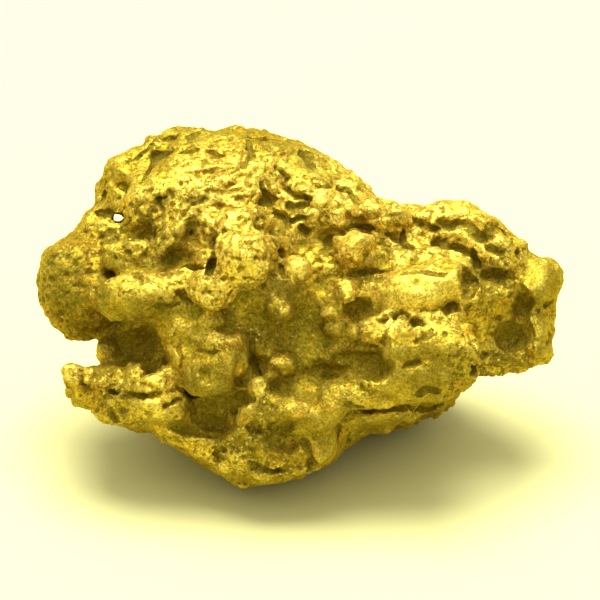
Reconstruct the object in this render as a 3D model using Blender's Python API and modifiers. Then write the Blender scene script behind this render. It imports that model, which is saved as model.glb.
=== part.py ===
"""A natural gold nugget: one lump of native gold, lying on its worn underside.

The nugget is modelled in millimetres on its broad face (x across the face, y up it, z out of it).
Rounded masses are fused into one lump, hollows are cut into it, knobs, flakes and ledges grow on
it, and crevices, pockets and pits are cut last. It is then leaned back to the way it lies, worn
flat where it touches the ground, and scaled to metres.
"""

import bisect
import itertools
import math
import random

import bmesh
import bpy
from mathutils import Matrix, Vector
from mathutils.bvhtree import BVHTree

# Driving dimensions, in millimetres and degrees.
FACE_LEAN = 32.0
BASE_WEAR = 0.42
FACETS = 9500

# Grain of the skin at each stage.
MASS_GRAIN = 0.28
DETAIL_GRAIN = 0.2
CREVICE_GRAIN = 0.12

# Swell of the skin: the grain of the noise, and how far it moves the skin in all.
LUMPS = (2.4, 0.9)
RIPPLES = (0.9, 0.3)

# Growths strewn over the skin: how many, their half lengths, their thickness and how far they are
# sunk as shares of that, their slant in degrees, and the seed of the strewing.
NODULES = (260, (0.5, 1.25), 0.33, 0.35, 10, 11)
FLAKES = (420, (0.45, 0.85), 0.22, 0.15, 25, 23)
PITS = (150, (0.25, 0.5), 0.8, 0.0, 30, 37)

FAR = 20.0
MM = 0.001

GOLD_COLOUR = (0.83, 0.62, 0.16, 1.0)
GOLD_ROUGHNESS = 0.42

# Each form is (centre), (half sizes), (turn in the face, tip back, roll), in mm and degrees.
MASSES = {
    "core": ((0.0, -0.4, -1.5), (8.5, 4.5, 5.0), (8, 0, 0)),
    "crown": ((-3.8, 3.8, -1.6), (5.8, 4.6, 5.0), (-5, 0, 0)),
    "crown_right": ((0.6, 3.85, -2.2), (5.3, 3.4, 4.4), (-30, 0, 0)),
    "crown_left": ((-7.3, 5.2, -2.0), (2.65, 2.5, 3.0), (40, 0, 0)),
    "crown_shoulder": ((-6.0, 7.1, -1.8), (1.9, 1.25, 2.2), (28, 0, 0)),
    "left_saddle": ((-8.9, 3.2, -1.5), (2.4, 1.7, 2.4), (22, 0, 0)),
    "left_lobe": ((-10.9, 0.7, -1.2), (2.35, 2.75, 3.1), (4, 0, 0)),
    "rear_left": ((-6.3, -2.0, -2.6), (3.6, 2.9, 3.6), (0, 0, 0)),
    "left_arm": ((-8.5, -4.9, 0.4), (3.3, 1.5, 2.8), (-18, 0, 0)),
    "left_arm_low": ((-6.6, -5.6, 0.0), (2.6, 1.6, 2.6), (-20, 0, 0)),
    "belly": ((-1.8, -6.1, -0.2), (4.7, 3.1, 4.3), (0, 0, 0)),
    "right_belly": ((4.4, -3.7, -1.2), (4.3, 2.4, 4.0), (35, 0, 0)),
    "right_mass": ((7.6, 0.5, -1.8), (4.4, 3.4, 3.8), (-15, 0, 0)),
    "middle_top": ((4.75, 3.1, -1.8), (2.4, 1.7, 2.7), (0, 0, 0)),
    "right_slope": ((9.3, 2.2, -1.2), (2.5, 1.6, 2.3), (-32, 0, 0)),
    "right_low": ((10.8, -1.8, -1.0), (1.8, 1.8, 2.2), (0, 0, 0)),
    "right_under": ((9.4, -2.5, -1.4), (2.0, 1.3, 2.2), (0, 0, 0)),
    "underside_left": ((-4.2, -2.9, -4.0), (5.2, 3.9, 4.6), (0, 32, 6)),
    "underside_right": ((4.4, -2.4, -4.3), (5.0, 3.9, 4.3), (0, 32, -8)),
    "back_ridge": ((3.2, 1.4, -4.9), (5.0, 2.2, 2.2), (-20, 0, 0)),
    "back_lobe": ((-7.2, 1.4, -4.0), (3.0, 2.6, 2.6), (0, 0, 0)),
    "back_shelf": ((-0.6, -1.0, -7.8), (3.9, 1.6, 1.7), (15, 20, 0)),
    "back_knob": ((7.2, -1.6, -5.6), (1.9, 1.6, 1.7), (0, 0, 0)),
    "back_under": ((-0.3, -3.1, -6.0), (5.4, 2.4, 3.0), (0, 32, 0)),
    "foot_left": ((-5.2, -4.3, -7.0), (2.0, 1.6, 1.8), (0, 32, 0)),
    "foot_right": ((4.4, -4.1, -7.2), (2.1, 1.6, 1.8), (0, 32, 0)),
}

HOLLOWS = {
    "cave": ((-8.6, -2.25, 3.2), (2.1, 1.2, 3.9), (0, 0, 0)),
    "middle_hollow": ((0.2, -1.9, 5.0), (2.6, 2.9, 2.9), (0, 0, 0)),
    "middle_hollow_left": ((-1.9, -0.9, 5.0), (1.4, 1.3, 2.4), (0, 0, 0)),
    "middle_hollow_top": ((0.8, 0.9, 5.2), (2.0, 1.2, 2.8), (-10, 0, 0)),
    "gap_under_drip": ((-4.5, -6.0, 4.3), (1.5, 1.0, 3.2), (-20, 0, 0)),
    "gap_beside_drip": ((-2.3, -4.2, 4.4), (0.6, 1.5, 2.2), (0, 0, 0)),
    "belly_hollow": ((-0.9, -6.9, 4.6), (1.2, 0.8, 1.9), (-20, 0, 0)),
    "right_hollow": ((10.8, -1.9, 2.1), (0.95, 1.35, 1.9), (-15, 0, 0)),
    "right_upper_hollow": ((9.9, 1.0, 2.6), (1.7, 0.7, 2.1), (-5, 0, 0)),
    "right_upper_hollow_left": ((8.3, 0.9, 2.6), (0.7, 1.1, 2.0), (0, 0, 0)),
    "right_lower_gap": ((9.1, -2.0, 2.4), (0.4, 1.6, 1.8), (8, 0, 0)),
    "band_hollow": ((-5.5, 3.45, 4.1), (1.1, 0.75, 2.0), (0, 0, 0)),
    "band_hollow_low": ((-6.4, 2.1, 3.2), (1.3, 0.6, 1.6), (10, 0, 0)),
    "band_hollow_left": ((-8.4, 3.1, 2.2), (1.6, 0.6, 1.7), (0, 0, 0)),
    "straw_funnel": ((-9.3, 4.3, -4.1), (1.3, 1.0, 2.3), (0, 0, 0)),
    "back_hollow": ((-1.4, 2.6, -7.6), (2.6, 1.3, 1.9), (-25, 0, 0)),
    "back_hollow_left": ((-4.8, -0.9, -8.2), (1.6, 1.0, 1.8), (30, 0, 0)),
    "back_hollow_right": ((8.6, 0.4, -5.4), (1.5, 1.1, 1.5), (0, 0, 0)),
    "back_hollow_low": ((2.6, -3.4, -8.6), (1.7, 1.2, 1.5), (-10, 0, 0)),
}

KNOBS = {
    "tongue": ((-7.4, 0.2, 2.3), (2.75, 1.2, 2.1), (4, 0, 0)),
    "tongue_top": ((-6.4, 1.1, 2.2), (2.2, 0.7, 1.5), (12, 0, 0)),
    "knob": ((-2.7, 2.0, 4.4), (1.6, 1.55, 1.6), (0, 0, 0)),
    "knob_low": ((-4.2, 0.7, 3.8), (1.2, 1.2, 1.3), (-30, 0, 0)),
    "apron": ((-4.0, -2.5, 3.2), (1.6, 0.9, 1.4), (0, 0, 0)),
    "apron_left": ((-6.0, -1.4, 2.7), (1.4, 1.1, 1.4), (-50, 0, 0)),
    "drip": ((-4.4, -3.8, 3.9), (1.2, 1.35, 1.2), (0, 0, 0)),
    "arm_tip": ((-11.0, -4.0, 1.6), (0.9, 0.8, 1.4), (0, 0, 0)),
    "arm_bump": ((-9.8, -3.9, 2.6), (0.8, 0.5, 0.9), (-10, 0, 0)),
    "arm_knuckle": ((-6.9, -5.2, 2.5), (1.4, 1.0, 1.3), (-6, 0, 0)),
    "smooth_lobe": ((5.6, -3.5, 3.3), (3.0, 1.75, 1.9), (4, 0, 0)),
    "smooth_lobe_top": ((7.2, -2.6, 2.8), (1.6, 1.3, 1.6), (0, 0, 0)),
    "right_shelf": ((6.2, 0.5, 2.5), (2.9, 1.3, 2.1), (6, 0, 0)),
    "right_shelf_low": ((5.4, -0.5, 2.5), (1.6, 0.7, 1.8), (0, 0, 0)),
    "top_right_knob": ((7.4, 3.6, -0.4), (1.8, 1.35, 1.8), (0, 0, 0)),
    "right_brow": ((9.4, 2.6, 0.6), (1.7, 0.9, 1.3), (-38, 0, 0)),
    "right_end": ((11.85, 0.75, -0.3), (1.15, 1.4, 1.7), (0, 0, 0)),
    "right_end_low": ((12.1, -0.7, -0.5), (0.7, 0.9, 1.3), (0, 0, 0)),
    "right_bottom": ((11.9, -2.2, 0.0), (0.8, 1.3, 1.6), (0, 0, 0)),
    "middle_plate": ((2.7, 2.6, 3.1), (0.95, 0.6, 0.8), (15, 0, 0)),
    "middle_plate_low": ((3.0, 1.9, 2.9), (0.9, 0.5, 0.8), (30, 0, 0)),
    "nub": ((-0.2, 1.8, 3.7), (0.75, 0.5, 0.8), (-30, 0, 0)),
    "curl": ((2.2, 0.35, 3.8), (0.5, 0.6, 0.9), (0, 0, 0)),
    "bump_upper": ((-0.95, -0.4, 2.7), (0.7, 0.8, 0.8), (0, 0, 0)),
    "bump_middle": ((-0.9, -3.2, 2.9), (0.8, 0.5, 0.9), (0, 0, 0)),
    "bump_low": ((-1.9, -4.6, 3.4), (0.6, 0.6, 0.8), (0, 0, 0)),
    "bump_orange": ((-0.5, -5.4, 3.9), (0.8, 0.6, 0.9), (0, 0, 0)),
    "belly_ledge": ((-1.4, -8.2, 2.0), (2.4, 0.5, 1.2), (-3, 0, 0)),
    "band_nodule": ((-6.3, 2.95, 2.9), (0.75, 0.45, 0.7), (0, 0, 0)),
    "band_nodule_right": ((-4.8, 2.3, 3.3), (0.6, 0.5, 0.7), (0, 0, 0)),
}

POCKETS = {
    "eye": ((3.7, -3.2, 5.0), (0.9, 0.8, 2.0), (0, 0, 0)),
    "pocket_under_curl": ((3.0, -0.55, 4.4), (0.6, 0.6, 1.9), (0, 0, 0)),
    "hollow_under_plate": ((1.7, 1.3, 3.9), (0.6, 0.55, 1.4), (0, 0, 0)),
    "apron_hollow": ((-3.6, -1.0, 4.9), (1.0, 0.6, 1.6), (0, 0, 0)),
    "crown_hole": ((-8.85, 5.65, 0.6), (0.36, 0.42, 2.0), (0, 0, 0)),
    "plate_side_pocket": ((4.1, 2.1, 2.6), (0.5, 0.75, 1.3), (0, 0, 0)),
    "straw_hole": ((-9.15, 4.1, 0.0), (0.3, 0.3, 8.0), (0, 0, 0)),
}

# Each crevice is its half width, its depth and its line over the face, in mm.
CREVICES = {
    "crown_edge_slot": (0.15, 0.5, ((-8.5, 6.9), (-8.15, 7.1), (-7.75, 7.5), (-7.4, 7.8))),
    "crown_top_pit": (0.22, 0.6, ((-6.65, 8.05), (-6.15, 8.15))),
    "crown_top_pit_right": (0.17, 0.5, ((-5.55, 8.15), (-5.2, 8.3))),
    "crown_branch": (0.2, 0.7, ((-7.1, 7.2), (-7.4, 6.7), (-7.55, 6.4), (-7.7, 6.1), (-7.95, 5.85))),
    "crown_branch_arm": (0.2, 0.5, ((-7.25, 7.25), (-7.0, 7.35), (-6.5, 7.4))),
    "crown_slit": (0.14, 0.4, ((-5.9, 7.4), (-5.5, 7.4), (-5.2, 7.55))),
    "crown_lens": (0.18, 0.5, ((-4.4, 7.45), (-4.15, 7.25), (-3.8, 7.2))),
    "crown_bar": (0.15, 0.5, ((-2.6, 8.1), (-1.85, 8.1), (-1.05, 8.0))),
    "crown_drop": (0.15, 0.5, ((-2.55, 8.0), (-2.5, 7.5), (-2.35, 7.4), (-2.5, 7.1), (-2.85, 6.6))),
    "crown_patch": (0.4, 0.6, ((0.15, 7.35), (0.4, 7.2), (0.45, 6.85), (0.6, 6.6))),
    "long_crevice": (0.24, 0.8, ((-1.2, 6.6), (-0.85, 6.3), (-0.6, 6.05), (-0.8, 5.8), (-0.6, 5.4))),
    "long_crevice_foot": (0.18, 0.7, ((-0.6, 5.4), (-0.3, 5.2), (0.15, 5.1), (0.5, 5.05))),
    "hooked_crevice": (0.14, 0.5, ((-1.9, 5.75), (-1.8, 5.35), (-1.6, 5.05), (-0.85, 5.0))),
    "hooked_crevice_low": (0.32, 0.8, ((-1.5, 4.9), (-1.9, 4.85), (-1.95, 4.4), (-1.7, 4.1))),
    "hooked_crevice_tail": (0.22, 0.7, ((-2.0, 4.0), (-2.1, 3.7), (-1.95, 3.5))),
    "slope_crevice_a": (0.2, 0.6, ((-0.55, 4.85), (-0.25, 4.6), (0.0, 4.7), (0.2, 4.75))),
    "slope_crevice_b": (0.15, 0.5, ((-1.35, 4.35), (-0.9, 4.3), (-0.65, 4.05), (-0.5, 3.65))),
    "slope_crevice_c": (0.15, 0.5, ((-0.5, 3.95), (0.15, 4.05))),
    "slope_crevice_d": (0.18, 0.6, ((0.5, 4.6), (0.9, 4.45), (1.25, 4.2), (1.4, 4.1))),
    "slope_crevice_e": (0.2, 0.6, ((0.8, 5.8), (1.25, 5.65), (1.65, 5.65), (1.65, 5.9))),
    "slope_crevice_g": (0.28, 0.7, ((2.0, 5.6), (2.4, 5.45), (2.6, 5.2), (2.85, 4.9), (3.25, 5.1))),
    "slope_hollow": (0.38, 0.8, ((2.4, 4.05), (3.1, 3.8), (3.75, 3.6), (4.3, 3.45), (4.8, 3.25))),
    "slope_hollow_left": (0.42, 0.8, ((1.2, 3.35), (1.6, 3.1), (1.6, 2.8))),
    "slope_hollow_low": (0.2, 0.6, ((5.1, 3.3), (5.2, 2.9), (5.5, 2.6))),
    "slope_pit": (0.2, 0.5, ((0.15, 3.65), (0.4, 3.3))),
    "saddle_dip": (0.45, 0.4, ((4.7, 4.5), (5.3, 4.45))),
    "saddle_nicks": (0.2, 0.5, ((5.7, 4.0), (6.0, 3.8), (6.45, 3.6), (6.9, 3.6))),
    "left_rim_slot": (0.22, 0.5, ((-9.8, 5.85), (-9.7, 5.5), (-9.85, 5.2))),
    "straw_hole_side": (0.26, 0.6, ((-10.0, 4.35), (-9.65, 4.35), (-9.4, 4.25))),
    "crown_low_crevice": (0.22, 0.8, ((-5.9, 4.2), (-5.6, 4.5), (-5.3, 4.85), (-4.75, 5.15))),
    "crown_low_fork": (0.18, 0.6, ((-6.7, 5.1), (-7.0, 5.0), (-6.9, 4.6))),
    "crown_low_stub": (0.18, 0.6, ((-8.05, 4.6), (-8.0, 4.2))),
    "band_slot": (0.16, 0.8, ((-5.7, 1.7), (-5.0, 1.6), (-4.25, 1.65))),
    "knob_side": (0.22, 1.0, ((-4.3, 3.3), (-4.3, 2.6), (-4.25, 2.0), (-4.5, 1.5))),
    "knob_right_side": (0.24, 1.0, ((-1.2, 2.9), (-0.95, 2.3), (-0.85, 1.7), (-0.7, 1.2))),
    "tongue_hollow": (0.2, 0.7, ((-5.9, 0.3), (-5.75, 0.0), (-5.45, -0.1))),
    "tongue_fold": (0.14, 0.4, ((-8.2, 1.4), (-7.9, 1.15), (-7.85, 0.85))),
    "tongue_seam": (0.14, 0.5, ((-7.2, -0.3), (-6.6, -0.35), (-6.0, -0.2))),
    "right_groove": (0.28, 0.9, ((6.65, 2.85), (7.25, 2.85), (8.1, 2.5), (8.5, 2.2), (9.0, 1.9))),
    "knob_hollow": (0.36, 0.9, ((8.1, 3.8), (8.5, 3.7), (8.6, 3.3), (8.9, 3.1), (9.5, 3.15))),
    "knob_chain": (0.2, 0.6, ((7.0, 3.85), (7.5, 3.7), (7.9, 3.85))),
    "rim_notch": (0.26, 0.6, ((9.75, 3.6), (10.1, 3.4))),
    "brow_pit": (0.22, 0.6, ((9.45, 2.6), (10.1, 2.45))),
    "brow_pit_right": (0.18, 0.5, ((11.0, 2.5), (11.0, 2.2))),
    "brow_pit_low": (0.2, 0.6, ((10.05, 2.05), (10.3, 1.75))),
    "plate_line": (0.13, 0.4, ((5.0, 1.35), (5.75, 1.45), (6.5, 1.35), (7.2, 1.3))),
    "plate_dip": (0.28, 0.4, ((5.3, 1.9), (6.0, 2.0))),
    "shelf_line": (0.15, 0.6, ((2.5, 1.25), (3.2, 1.35), (4.4, 1.45))),
    "shelf_gap": (0.22, 0.8, ((4.1, -0.95), (4.5, -0.75), (5.0, -0.65), (5.5, -0.95), (5.8, -1.2))),
    "lobe_top_gap": (0.22, 0.9, ((5.7, -2.0), (6.1, -1.9), (6.5, -1.6))),
    "shelf_pit": (0.26, 0.6, ((7.2, -0.6), (7.5, -0.25), (7.8, -0.5))),
    "lobe_pit": (0.16, 0.5, ((5.1, -3.4), (5.4, -3.2), (5.85, -3.05))),
    "lobe_low_pit": (0.22, 0.6, ((5.9, -4.65), (6.2, -4.4), (6.8, -4.5))),
    "under_lobe": (0.22, 1.1, ((2.4, -5.2), (3.2, -5.45), (4.3, -5.5), (5.2, -5.35), (6.1, -5.55))),
    "under_lobe_end": (0.22, 0.9, ((6.0, -5.55), (6.4, -5.6), (7.0, -5.3))),
    "lobe_edge": (0.15, 0.7, ((8.55, -2.2), (8.8, -2.8), (8.8, -3.3), (8.6, -3.75))),
    "end_slot": (0.18, 0.5, ((12.3, -0.35), (12.6, -0.1))),
    "bottom_slot": (0.2, 0.5, ((12.4, -2.2), (12.5, -1.8))),
    "drip_ring": (0.3, 0.6, ((-4.75, -3.7), (-4.6, -3.9))),
    "apron_seam": (0.15, 0.6, ((-5.5, -2.5), (-4.75, -2.6), (-3.9, -2.5))),
    "beside_apron": (0.3, 1.2, ((-2.4, -2.0), (-2.3, -2.9), (-2.0, -3.8))),
    "arm_line": (0.22, 0.7, ((-9.5, -4.5), (-8.5, -4.7), (-7.4, -4.75), (-6.9, -4.6))),
    "arm_notch": (0.18, 0.5, ((-10.95, -3.5), (-10.8, -4.2))),
    "arm_notch_right": (0.18, 0.5, ((-10.1, -3.2), (-10.1, -3.8))),
    "arm_crack": (0.15, 0.5, ((-9.4, -5.6), (-9.1, -6.1))),
    "knuckle_roll": (0.15, 0.6, ((-6.7, -5.25), (-6.3, -5.1), (-5.9, -4.9))),
    "belly_slot": (0.2, 0.6, ((1.95, -6.3), (1.85, -7.0))),
    "belly_slot_right": (0.16, 0.5, ((2.5, -6.7), (2.35, -7.3))),
    "belly_line": (0.16, 0.6, ((-2.5, -8.1), (-2.0, -8.45), (-1.2, -8.6), (-0.5, -8.3))),
    "belly_cleft": (0.26, 0.7, ((0.2, -7.0), (0.45, -7.8), (0.6, -8.4))),
    "belly_left_pit": (0.22, 0.5, ((-4.1, -7.75), (-3.95, -7.8))),
}

BACK_CREVICES = {
    "back_seam": (0.3, 0.9, ((-9.6, 2.6), (-8.4, 3.4), (-6.8, 3.6), (-5.6, 4.4), (-4.0, 4.2))),
    "back_seam_low": (0.25, 0.8, ((-8.6, -1.0), (-7.2, -1.6), (-5.9, -1.4), (-4.8, -2.2))),
    "back_fold": (0.25, 0.8, ((-1.6, 6.4), (-0.4, 5.4), (1.0, 5.0), (2.2, 4.1))),
    "back_fold_right": (0.28, 0.8, ((3.0, 3.6), (4.4, 3.4), (5.6, 2.6), (6.4, 2.6))),
    "back_crack": (0.2, 0.7, ((-5.6, 7.0), (-4.6, 6.5), (-4.4, 5.6), (-3.4, 5.2))),
    "back_slot": (0.3, 0.9, ((6.6, -0.4), (7.4, 0.4), (8.9, 0.7))),
    "back_slot_low": (0.28, 0.9, ((0.2, -3.6), (1.2, -2.8), (2.8, -2.6))),
    "back_hook": (0.22, 0.7, ((9.4, 2.4), (10.0, 1.6), (9.6, 0.8))),
    "back_gap": (0.3, 1.0, ((-3.4, 0.8), (-2.0, 1.2), (-0.8, 0.8), (0.6, 1.1))),
}

# Each ledge is its half width, how far it stands out and its line over the face, in mm.
LEDGES = {
    "sheet_edge": (0.2, 0.5, ((2.5, -1.75), (3.4, -1.7), (4.1, -1.55), (4.5, -1.25), (5.0, -1.0))),
    "sheet_edge_right": (0.2, 0.5, ((5.0, -1.0), (5.4, -1.25), (5.8, -1.5), (6.4, -1.25), (7.0, -1.1))),
    "apron_rim": (0.14, 0.45, ((-4.6, -1.25), (-4.1, -1.65), (-3.4, -1.85), (-2.7, -1.85))),
    "eye_lid": (0.18, 0.5, ((0.9, -4.4), (1.8, -4.3), (2.5, -4.05), (3.1, -3.95), (3.8, -4.2), (4.3, -4.5))),
    "flake": (0.14, 0.5, ((0.9, -0.65), (1.3, -0.6), (1.8, -0.65))),
    "hollow_curl": (0.12, 0.4, ((10.0, -1.5), (10.6, -1.3), (11.0, -1.0))),
    "knuckle_rim": (0.2, 0.4, ((-8.0, -5.2), (-7.2, -5.05), (-6.4, -4.8), (-5.9, -4.6))),
    "crown_rim": (0.25, 0.3, ((-5.8, 4.1), (-4.7, 4.0), (-3.6, 3.9))),
    "right_flap": (0.22, 0.4, ((6.9, 2.55), (7.7, 2.35), (8.2, 1.9), (8.1, 1.4))),
    "plate_rim": (0.2, 0.35, ((1.9, 2.7), (2.6, 3.1), (3.4, 3.2))),
    "slope_flap": (0.22, 0.35, ((2.2, 4.5), (3.0, 4.3), (3.9, 4.1), (4.6, 3.9))),
}


def clear_scene():
    """Removes what the startup file holds."""
    for obj in list(bpy.data.objects):
        bpy.data.objects.remove(obj, do_unlink=True)


def new_collection(name):
    collection = bpy.data.collections.new(name)
    bpy.context.scene.collection.children.link(collection)
    return collection


def ellipsoids(name, forms, collection):
    """One mesh object with an ellipsoid for each form."""
    bm = bmesh.new()
    for centre, half, turns in forms.values():
        turn, tip, roll = (math.radians(angle) for angle in turns)
        place = (
            Matrix.Translation(centre)
            @ Matrix.Rotation(turn, 4, "Z")
            @ Matrix.Rotation(tip, 4, "X")
            @ Matrix.Rotation(roll, 4, "Y")
            @ Matrix.Diagonal((*half, 1.0))
        )
        bmesh.ops.create_icosphere(bm, subdivisions=4, radius=1.0, matrix=place)
    mesh = bpy.data.meshes.new(name)
    bm.to_mesh(mesh)
    bm.free()
    obj = bpy.data.objects.new(name, mesh)
    collection.objects.link(obj)
    return obj


def apply_modifiers(obj):
    """Replaces the object's mesh with what its modifiers make of it."""
    bpy.context.view_layer.update()
    graph = bpy.context.evaluated_depsgraph_get()
    mesh = bpy.data.meshes.new_from_object(obj.evaluated_get(graph))
    obj.modifiers.clear()
    obj.data = mesh


def fuse(obj, grain):
    """Fuses overlapping forms into one closed skin."""
    modifier = obj.modifiers.new("Fuse", "REMESH")
    modifier.mode = "VOXEL"
    modifier.voxel_size = grain
    apply_modifiers(obj)


def swell(obj, grain, reach):
    """Moves the skin in and out by a soft noise."""
    texture = bpy.data.textures.new("swell", "CLOUDS")
    texture.noise_scale = grain
    modifier = obj.modifiers.new("Swell", "DISPLACE")
    modifier.texture = texture
    modifier.texture_coords = "LOCAL"
    modifier.strength = reach
    modifier.mid_level = 0.5
    apply_modifiers(obj)


def cut(obj, cutter):
    """Takes the cutter's form out of the object."""
    cutter.hide_render = True
    cutter.display_type = "WIRE"
    modifier = obj.modifiers.new("Cut", "BOOLEAN")
    modifier.operation = "DIFFERENCE"
    modifier.solver = "EXACT"
    modifier.object = cutter
    apply_modifiers(obj)


def gold():
    material = bpy.data.materials.new("native_gold")
    material.use_nodes = True
    shader = material.node_tree.nodes["Principled BSDF"]
    shader.inputs["Base Color"].default_value = GOLD_COLOUR
    shader.inputs["Metallic"].default_value = 1.0
    shader.inputs["Roughness"].default_value = GOLD_ROUGHNESS
    return material


def strewn(name, obj, count, sizes, flatness, sink, slant, seed, collection):
    """Small lumps of random size strewn over the skin, each sunk into it by a share of its height."""
    chance = random.Random(seed)
    bm = bmesh.new()
    bm.from_mesh(obj.data)
    bmesh.ops.triangulate(bm, faces=bm.faces)
    faces = list(bm.faces)
    shares = list(itertools.accumulate(face.calc_area() for face in faces))
    spots = [faces[bisect.bisect(shares, chance.random() * shares[-1])] for _ in range(count)]
    places = []
    for face in spots:
        size = chance.uniform(*sizes)
        half = Vector((size, size * chance.uniform(0.55, 1.0), size * flatness))
        centre = face.calc_center_median() - face.normal * half.z * sink
        turn = Matrix.Rotation(chance.uniform(0.0, math.tau), 4, "Z")
        lean = Matrix.Rotation(math.radians(chance.uniform(-slant, slant)), 4, "X")
        lie = face.normal.to_track_quat("Z", "Y").to_matrix().to_4x4()
        places.append(Matrix.Translation(centre) @ lie @ turn @ lean @ Matrix.Diagonal((*half, 1.0)))
    bm.free()
    grown = bmesh.new()
    for place in places:
        bmesh.ops.create_icosphere(grown, subdivisions=2, radius=1.0, matrix=place)
    mesh = bpy.data.meshes.new(name)
    grown.to_mesh(mesh)
    grown.free()
    lumps = bpy.data.objects.new(name, mesh)
    collection.objects.link(lumps)
    return lumps


def strokes(name, obj, lines, side, collection):
    """Beads strung along lines over the skin, laid on it from in front (side 1) or behind (side -1)."""
    skin = BVHTree.FromObject(obj, bpy.context.evaluated_depsgraph_get())
    bm = bmesh.new()
    for width, reach, line in lines.values():
        for start, end in itertools.pairwise(line):
            steps = max(2, math.ceil(math.dist(start, end) / (0.6 * width)))
            for step in range(steps + 1):
                x, y = (a + (b - a) * step / steps for a, b in zip(start, end, strict=True))
                spot = skin.ray_cast(Vector((x, y, FAR * side)), Vector((0.0, 0.0, -side)))[0]
                if spot is None:
                    continue
                bead = Matrix.Translation(spot) @ Matrix.Diagonal((width, width, reach, 1.0))
                bmesh.ops.create_icosphere(bm, subdivisions=2, radius=1.0, matrix=bead)
    mesh = bpy.data.meshes.new(name)
    bm.to_mesh(mesh)
    bm.free()
    strung = bpy.data.objects.new(name, mesh)
    collection.objects.link(strung)
    return strung


def keep_largest(obj):
    """Drops the crumbs that the cuts leave loose."""
    bm = bmesh.new()
    bm.from_mesh(obj.data)
    left = set(bm.verts)
    bodies = []
    while left:
        front = [left.pop()]
        body = set(front)
        while front:
            vert = front.pop()
            near = {edge.other_vert(vert) for edge in vert.link_edges} & left
            left -= near
            body |= near
            front.extend(near)
        bodies.append(body)
    biggest = max(bodies, key=len)
    bmesh.ops.delete(bm, geom=[v for v in bm.verts if v not in biggest], context="VERTS")
    bm.to_mesh(obj.data)
    bm.free()


def join(obj, other):
    """Puts the other object's mesh into this one's."""
    with bpy.context.temp_override(active_object=obj, selected_editable_objects=[obj, other]):
        bpy.ops.object.join()


def grown_lump(collection, helpers):
    """The lump with its hollows, knobs, nodules, flakes and ledges."""
    nugget = ellipsoids("gold_nugget", MASSES, collection)
    fuse(nugget, MASS_GRAIN)
    swell(nugget, *LUMPS)
    hollows = ellipsoids("hollows", HOLLOWS, helpers)
    fuse(hollows, MASS_GRAIN)
    cut(nugget, hollows)
    join(nugget, ellipsoids("knobs", KNOBS, helpers))
    fuse(nugget, DETAIL_GRAIN)
    join(nugget, strewn("nodules", nugget, *NODULES, helpers))
    join(nugget, strewn("flakes", nugget, *FLAKES, helpers))
    join(nugget, strokes("ledges", nugget, LEDGES, 1, helpers))
    fuse(nugget, DETAIL_GRAIN)
    return nugget


def open_skin(nugget, helpers):
    """Cuts the pockets, crevices and pits, and thins the skin to facets."""
    openings = ellipsoids("openings", POCKETS, helpers)
    join(openings, strokes("crevices", nugget, CREVICES, 1, helpers))
    join(openings, strokes("back_crevices", nugget, BACK_CREVICES, -1, helpers))
    join(openings, strewn("pits", nugget, *PITS, helpers))
    fuse(openings, CREVICE_GRAIN)
    cut(nugget, openings)
    fuse(nugget, CREVICE_GRAIN)
    keep_largest(nugget)
    swell(nugget, *RIPPLES)
    facets = nugget.modifiers.new("Facets", "DECIMATE")
    facets.ratio = FACETS / sum(len(face.vertices) - 2 for face in nugget.data.polygons)
    apply_modifiers(nugget)


def lay_down(nugget, helpers):
    """Leans the face back, wears the base flat and puts the origin at its middle, in metres.

    Gives the place of the face's own middle in the finished part.
    """
    nugget.data.transform(Matrix.Rotation(math.radians(90.0 - FACE_LEAN), 4, "X"))
    ground = min(v.co.z for v in nugget.data.vertices) + BASE_WEAR
    mesh = bpy.data.meshes.new("ground")
    bm = bmesh.new()
    bmesh.ops.create_cube(bm, size=2.0 * FAR, matrix=Matrix.Translation((0.0, 0.0, ground - FAR)))
    bm.to_mesh(mesh)
    bm.free()
    slab = bpy.data.objects.new("ground", mesh)
    helpers.objects.link(slab)
    cut(nugget, slab)
    corners = [v.co for v in nugget.data.vertices]
    low = Vector(min(c[axis] for c in corners) for axis in range(3))
    high = Vector(max(c[axis] for c in corners) for axis in range(3))
    origin = Vector(((low.x + high.x) / 2, (low.y + high.y) / 2, low.z))
    nugget.data.transform(Matrix.Scale(MM, 4) @ Matrix.Translation(-origin))
    return origin * -MM


def main():
    clear_scene()
    parts = new_collection("gold_nugget")
    helpers = new_collection("cutters")
    nugget = grown_lump(parts, helpers)
    open_skin(nugget, helpers)
    face_middle = lay_down(nugget, helpers)
    nugget.data.materials.append(gold())
    print("middle of the broad face, in metres:", face_middle)
    return face_middle


FACE_ORIGIN_M = main()
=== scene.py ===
import math

import bpy
import numpy as np
from mathutils import Matrix, Vector
from mathutils.bvhtree import BVHTree
from mathutils.kdtree import KDTree


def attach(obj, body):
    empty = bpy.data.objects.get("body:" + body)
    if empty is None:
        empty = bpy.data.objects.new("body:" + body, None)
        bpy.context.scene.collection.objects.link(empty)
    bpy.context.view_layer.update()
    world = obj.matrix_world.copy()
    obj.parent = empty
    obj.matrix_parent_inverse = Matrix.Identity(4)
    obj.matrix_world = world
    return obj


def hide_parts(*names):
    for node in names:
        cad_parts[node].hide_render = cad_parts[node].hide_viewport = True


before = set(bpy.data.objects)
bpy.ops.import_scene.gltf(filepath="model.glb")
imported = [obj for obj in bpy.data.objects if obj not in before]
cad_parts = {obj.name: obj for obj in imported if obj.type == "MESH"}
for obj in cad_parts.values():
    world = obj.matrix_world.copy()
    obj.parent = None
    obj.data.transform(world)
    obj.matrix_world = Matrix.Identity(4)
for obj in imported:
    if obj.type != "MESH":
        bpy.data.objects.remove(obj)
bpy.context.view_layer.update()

# -----------------------------------------------------------------------------
# The lump. One solid piece of native gold, water-worn on its high places and crusted in its low
# ones. It starts from the solid of the part and is worked in millimetres on its broad face:
# x across the face, y up it, z out of it.
# -----------------------------------------------------------------------------
FACE_LEAN = math.radians(58.0)
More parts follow.
